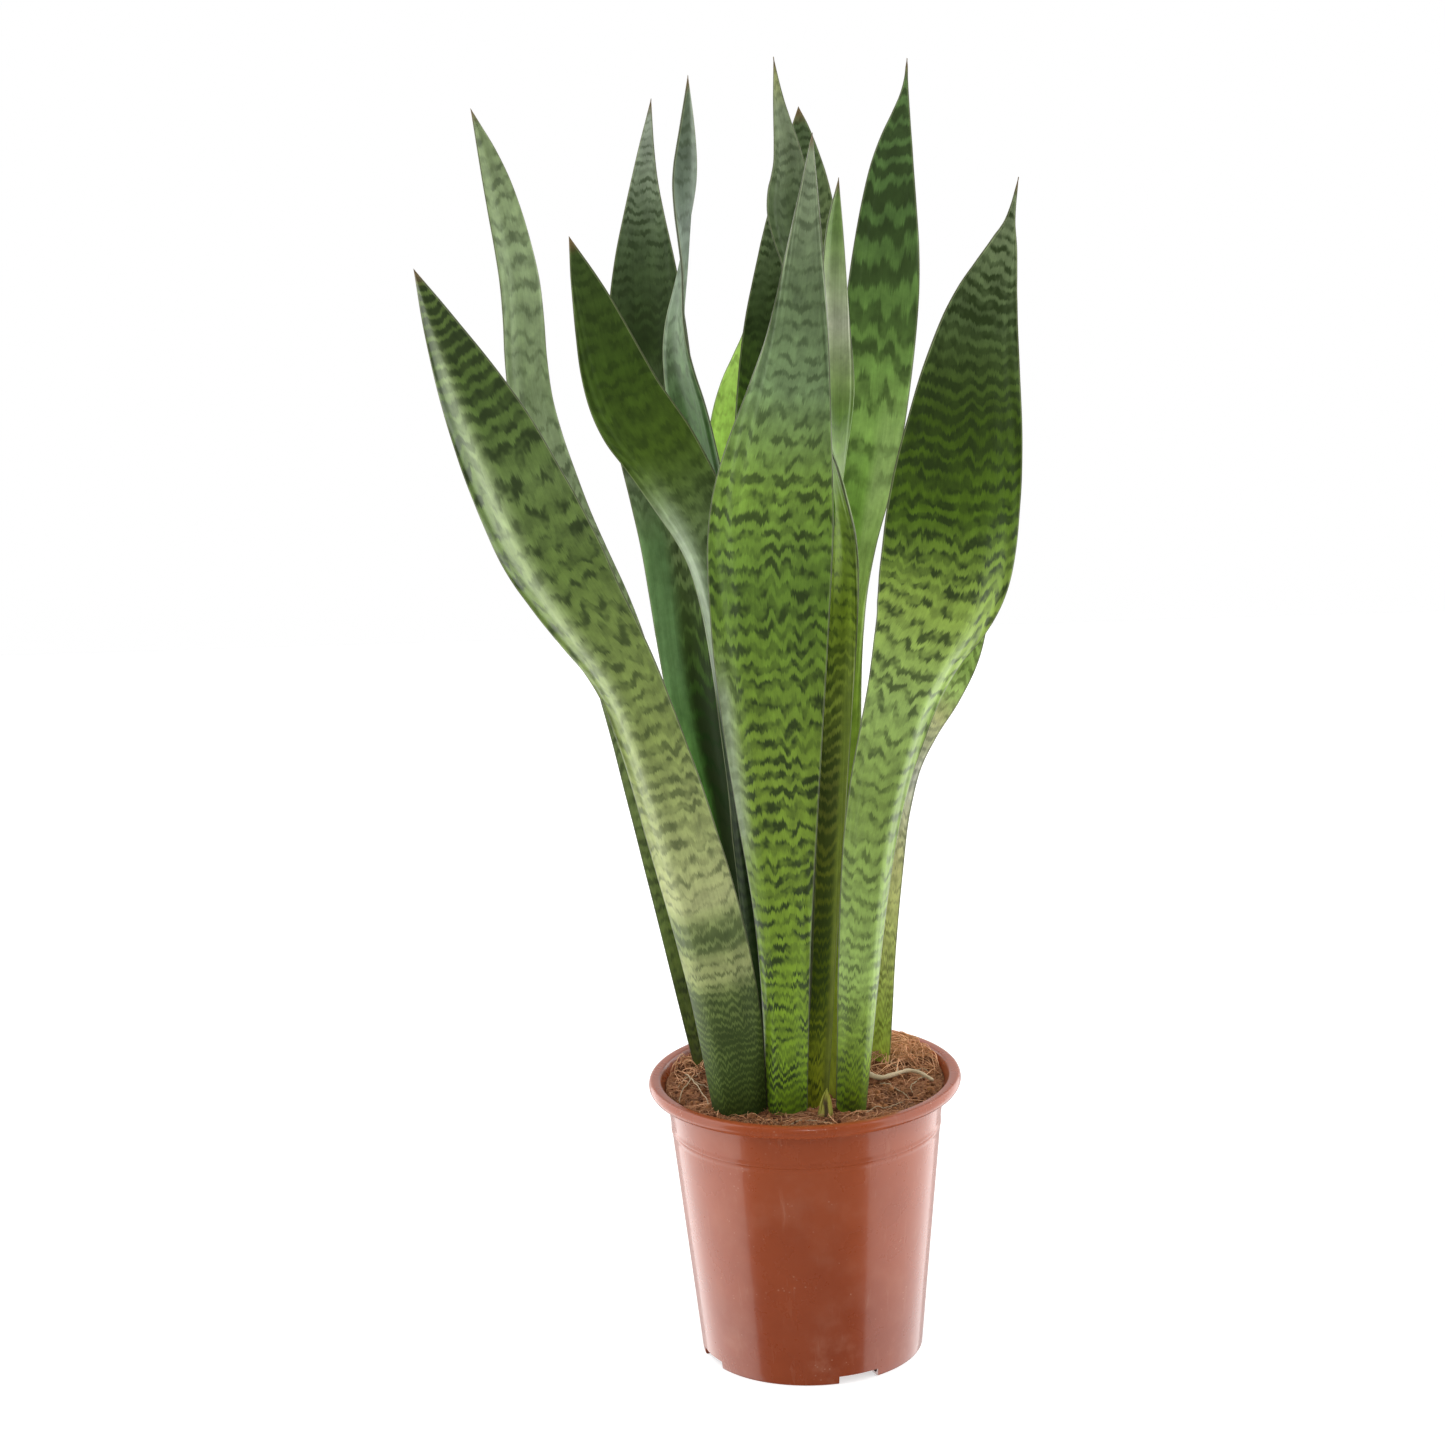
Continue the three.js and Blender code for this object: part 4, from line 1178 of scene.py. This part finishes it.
crumbs = make_crumbs("soil_crumbs", 1500, 21)
fibres = scattered_fibres("soil_fibres", 620, 22)
tuft = scattered_fibres("coir_tuft", 420, 23, TUFT_CENTRE, 0.02, (10, 28), (1, 6.5), (0.6, 1), 1.5)
wisps = scattered_fibres("coir_wisps", 130, 24, (-0.055, 0.032), 0.016, (8, 24), (1, 6), (0.5, 1), 1.4)
strands = sum(len(piece.data.polygons) for piece in (fibres, tuft, wisps))
print("crumbs:", len(crumbs.data.polygons), "faces; fibres:", strands)

# %% [markdown]
# ## Roots
#
# One pale root lies across the soil on the right and thinner ones leave it. On the left a few bare
# rootlets arch over the bed. The thick root keeps to the line of its CAD solid; it swells and
# narrows a little.

# %% Roots
ROOT_GROUPS = 13
ROOT_STEPS, ROOTLET_STEPS = 60, 26
ROOT_RADIUS, ROOTLET_RADII, ROOTLET_WOBBLE = 1.5 * MM, (0.36 * MM, 0.18 * MM), 0.35 * MM


def root_line():
    """The middle line of the CAD root: its corners in order of x, in groups of the same size, and the mean
    of each group."""
    points = welded_corners("surface_root")[0]
    return np.stack([group.mean(0) for group in np.array_split(points[points[:, 0].argsort()], ROOT_GROUPS)])


ROOTLET_PATHS = [
    [(49, -1, 1.6), (51, 7, 2.4), (47, 17, 2.6), (44, 26, 0.6)],
    [(58, 4, 1.8), (61, 9, 2.0), (64, 11, 1.5), (67, 9, 0.3)],
    [(65, -2, 1.4), (60, -8, 0.9), (57, -16, 0.7), (58, -23, 0.1)],
    [(40, -4, 1.0), (45, -10, 0.9), (50, -20, 0.8), (56, -32, 0.0)],
    [(-66, 20, 0.0), (-61, -6, 5.0), (-54, -28, 3.2), (-51, -38, 0.2)],
    [(-61, -6, 4.8), (-66, -15, 2.6), (-68, -22, 0.6), (-66, -28, 0.0)],
    [(-62, 0, 3.8), (-56, -4, 1.6), (-50, -12, 0.8), (-45, -22, 0.2)],
    [(-56, 18, 0.3), (-60, 9, 2.4), (-66, 3, 1.6), (-69, -6, 0.0)],
    [(30, -52, 0.4), (36, -48, 1.6), (44, -46, 1.2), (52, -40, 0.0)],
    [(-8, -66, 0.1), (0, -63, 1.4), (8, -66, 1.5), (15, -64, 0.0)],
]


def thread_along(path, steps):
    """A smooth path through a few points, read at even steps."""
    return smooth_read(path, np.linspace(0, len(path) - 1, steps))


thick_line = thread_along(root_line(), ROOT_STEPS)
swell = 1 + 0.14 * ripples(np.linspace(0, 1, ROOT_STEPS), np.zeros(ROOT_STEPS), 0.13, 31)
thick_radii = ROOT_RADIUS * swell * np.linspace(1, 0.6, ROOT_STEPS)
root = make_threads("root_thick", thick_line[None], thick_radii[None], 12, np.array([0.85]))
thin_lines = np.stack([thread_along(np.array(path) * MM, ROOTLET_STEPS) for path in ROOTLET_PATHS])
thin_lines[..., 2] += soil_height(thin_lines[..., 0], thin_lines[..., 1])
wobble = np.stack([ripples(thin_lines[..., 0], thin_lines[..., 1], 0.012, 32 + k) for k in range(3)], -1)
thin_lines = thin_lines + ROOTLET_WOBBLE * wobble
thin_radii = np.repeat(np.linspace(*ROOTLET_RADII, ROOTLET_STEPS)[None], len(thin_lines), 0)
rootlets = make_threads("rootlets", thin_lines, thin_radii, 6, np.linspace(0.8, 0.4, len(thin_lines)))
print("roots:", len(root.data.polygons) + len(rootlets.data.polygons), "faces")

# %% [markdown]
# ## Finishes of the soil and roots
#
# Peat is dark red-brown and never one colour: clouds of drier, paler compost lie beside damp dark
# ones. Coir runs from brown to gold, and roots are the colour of straw. All of them are dull, so
# they reflect almost nothing.


# %% Soil, fibre and root materials
PEAT_DAMP = (0.085, 0.030, 0.013, 1.0)
PEAT_DRY = (0.29, 0.115, 0.052, 1.0)
PEAT_BIT = (0.52, 0.27, 0.13, 1.0)


def soil_finish():
    """Damp and dry clouds of peat, with fine paler bits."""
    material, tree, shader = new_finish("peat_soil", 0.95, 0.2)
    place = object_place(tree)
    dry = step_between(tree, grain(tree, place, 60.0, 3.0), 0.35, 0.65)
    bits = step_between(tree, grain(tree, place, 700.0, 3.0, 0.65), 0.42, 0.66)
    height = grain(tree, place, 900.0, 4.0, 0.7) + grain(tree, place, 260.0)
    give(tree, shader, {
        "Base Color": blend(tree, bits * 0.55, blend(tree, dry, PEAT_DAMP, PEAT_DRY), PEAT_BIT),
        "Normal": bump(tree, height, 0.0012),
    })
    return material


def bits_finish(name, low, high, roughness):
    """Loose bits: each lies between two colours by the tint it carries, with fine streaks over it."""
    material, tree, shader = new_finish(name, roughness, 0.25)
    streak = grain(tree, object_place(tree), 1400.0)
    colour = blend(tree, attribute(tree, "bit_tint"), low, high)
    give(tree, shader, {
        "Base Color": dimmed(tree, colour, streak * 0.8 + 0.6),
        "Normal": bump(tree, streak, 0.0002),
    })
    return material


fibre_finish = bits_finish("coir_fibre", (0.22, 0.08, 0.032, 1.0), (0.9, 0.5, 0.27, 1.0), 0.75)
crumb_finish = bits_finish("peat_crumb", (0.07, 0.026, 0.010, 1.0), (0.34, 0.15, 0.06, 1.0), 0.95)
root_finish = bits_finish("pale_root", (0.25, 0.16, 0.09, 1.0), (0.56, 0.46, 0.3, 1.0), 0.7)
dressed = {
    soil: (soil_finish(), "soil"),
    crumbs: (crumb_finish, "soil"),
    fibres: (fibre_finish, "soil"),
    tuft: (fibre_finish, "soil"),
    wisps: (fibre_finish, "soil"),
    root: (root_finish, "root"),
    rootlets: (root_finish, "root"),
}
for piece, (material, slot) in dressed.items():
    piece.data.materials.append(material)
    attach(piece, "root")
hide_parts("soil")
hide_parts("surface_root")
print("soil and roots dressed:", sorted(piece.name for piece in dressed))

# %% [markdown]
# ## Floor and light
#
# The plant stands on a pale floor between two tall soft boxes, whose edges draw the upright
# reflections on the pot. A third box hangs above and a fourth fills from the camera's side. The
# floor hides from glossy rays, so the boxes are mirrored down to the foot of the pot, as they are
# when a pot stands on a narrow table. The sky is a white backdrop behind the plant and dims towards
# the camera's side, more so where it is mirrored, so that dark bands stay dark.

# %% Floor
FLOOR_HALF = 1.6
PAPER_DARK, PAPER_PALE = (0.54, 0.54, 0.54, 1.0), (0.58, 0.58, 0.58, 1.0)
PAPER_GLOW = 0.62

floor_mesh = bpy.data.meshes.new("floor")
floor_corners = [(x * FLOOR_HALF, y * FLOOR_HALF, 0) for x, y in ((-1, -1), (1, -1), (1, 1), (-1, 1))]
floor_mesh.from_pydata(floor_corners, [], [(0, 1, 2, 3)])
floor = add_object("floor", floor_mesh)
floor.visible_glossy = False
paper, paper_tree, paper_shader = new_finish("pale_paper", 0.9, 0.1)
speckle = grain(paper_tree, object_place(paper_tree), 300.0)
give(paper_tree, paper_shader, {
    "Base Color": blend(paper_tree, speckle, PAPER_DARK, PAPER_PALE),
    "Emission Color": (1.0, 1.0, 1.0, 1.0),
    "Emission Strength": PAPER_GLOW,
})
floor_mesh.materials.append(paper)
print("floor ready")


# %% Lights and sky
def soft_box(name, place, look_at, width, height, brightness, mirrored=True):
    """A rectangular light, hidden from glossy rays if it is not to be mirrored. Its power is its brightness
    times pi times its area, so that brightness is what a mirror would show."""
    light = bpy.data.lights.new(name, "AREA")
    light.shape = "RECTANGLE"
    light.size, light.size_y = width, height
    light.energy = brightness * math.pi * width * height
    box = add_object(name, light)
    box.location = place
    box.rotation_euler = (Vector(look_at) - Vector(place)).to_track_quat("-Z", "Y").to_euler()
    box.visible_camera = False
    box.visible_glossy = mirrored


soft_box("left_box", (-1.0, 0.5, 0.5), (0, 0.5, 0.5), 2.2, 3.2, 2.5)
soft_box("right_box", (1.0, 0.45, 0.5), (0, 0.45, 0.5), 2.3, 3.2, 2.3)
soft_box("top_box", (-0.15, -0.3, 1.9), (0, 0, 0.4), 1.1, 1.0, 2.0, False)
soft_box("front_box", (0.1, -3.0, 2.3), (0, 0, 0.35), 0.45, 0.45, 22.0)

world = bpy.data.worlds.new("studio")
bpy.context.scene.world = world
world.use_nodes = True
sky = world.node_tree
background = sky.nodes["Background"]
background.inputs["Color"].default_value = (1.0, 1.0, 1.0, 1.0)
ray = outputs(sky, sky.nodes.new("ShaderNodeLightPath"))
glossy = ray["Is Glossy Ray"]
behind = step_between(sky, parts_of(sky, add_node(sky, "TexCoord", (), "Generated"))[1], 0.45, 0.9)
strength = (1.0 - glossy) * (behind * 0.45 + 0.34) + glossy * (behind * 0.85 + 0.02)
give(sky, background, {"Strength": number(sky, "MAXIMUM", strength, ray["Is Camera Ray"])})
bpy.context.scene.view_settings.view_transform = "Standard"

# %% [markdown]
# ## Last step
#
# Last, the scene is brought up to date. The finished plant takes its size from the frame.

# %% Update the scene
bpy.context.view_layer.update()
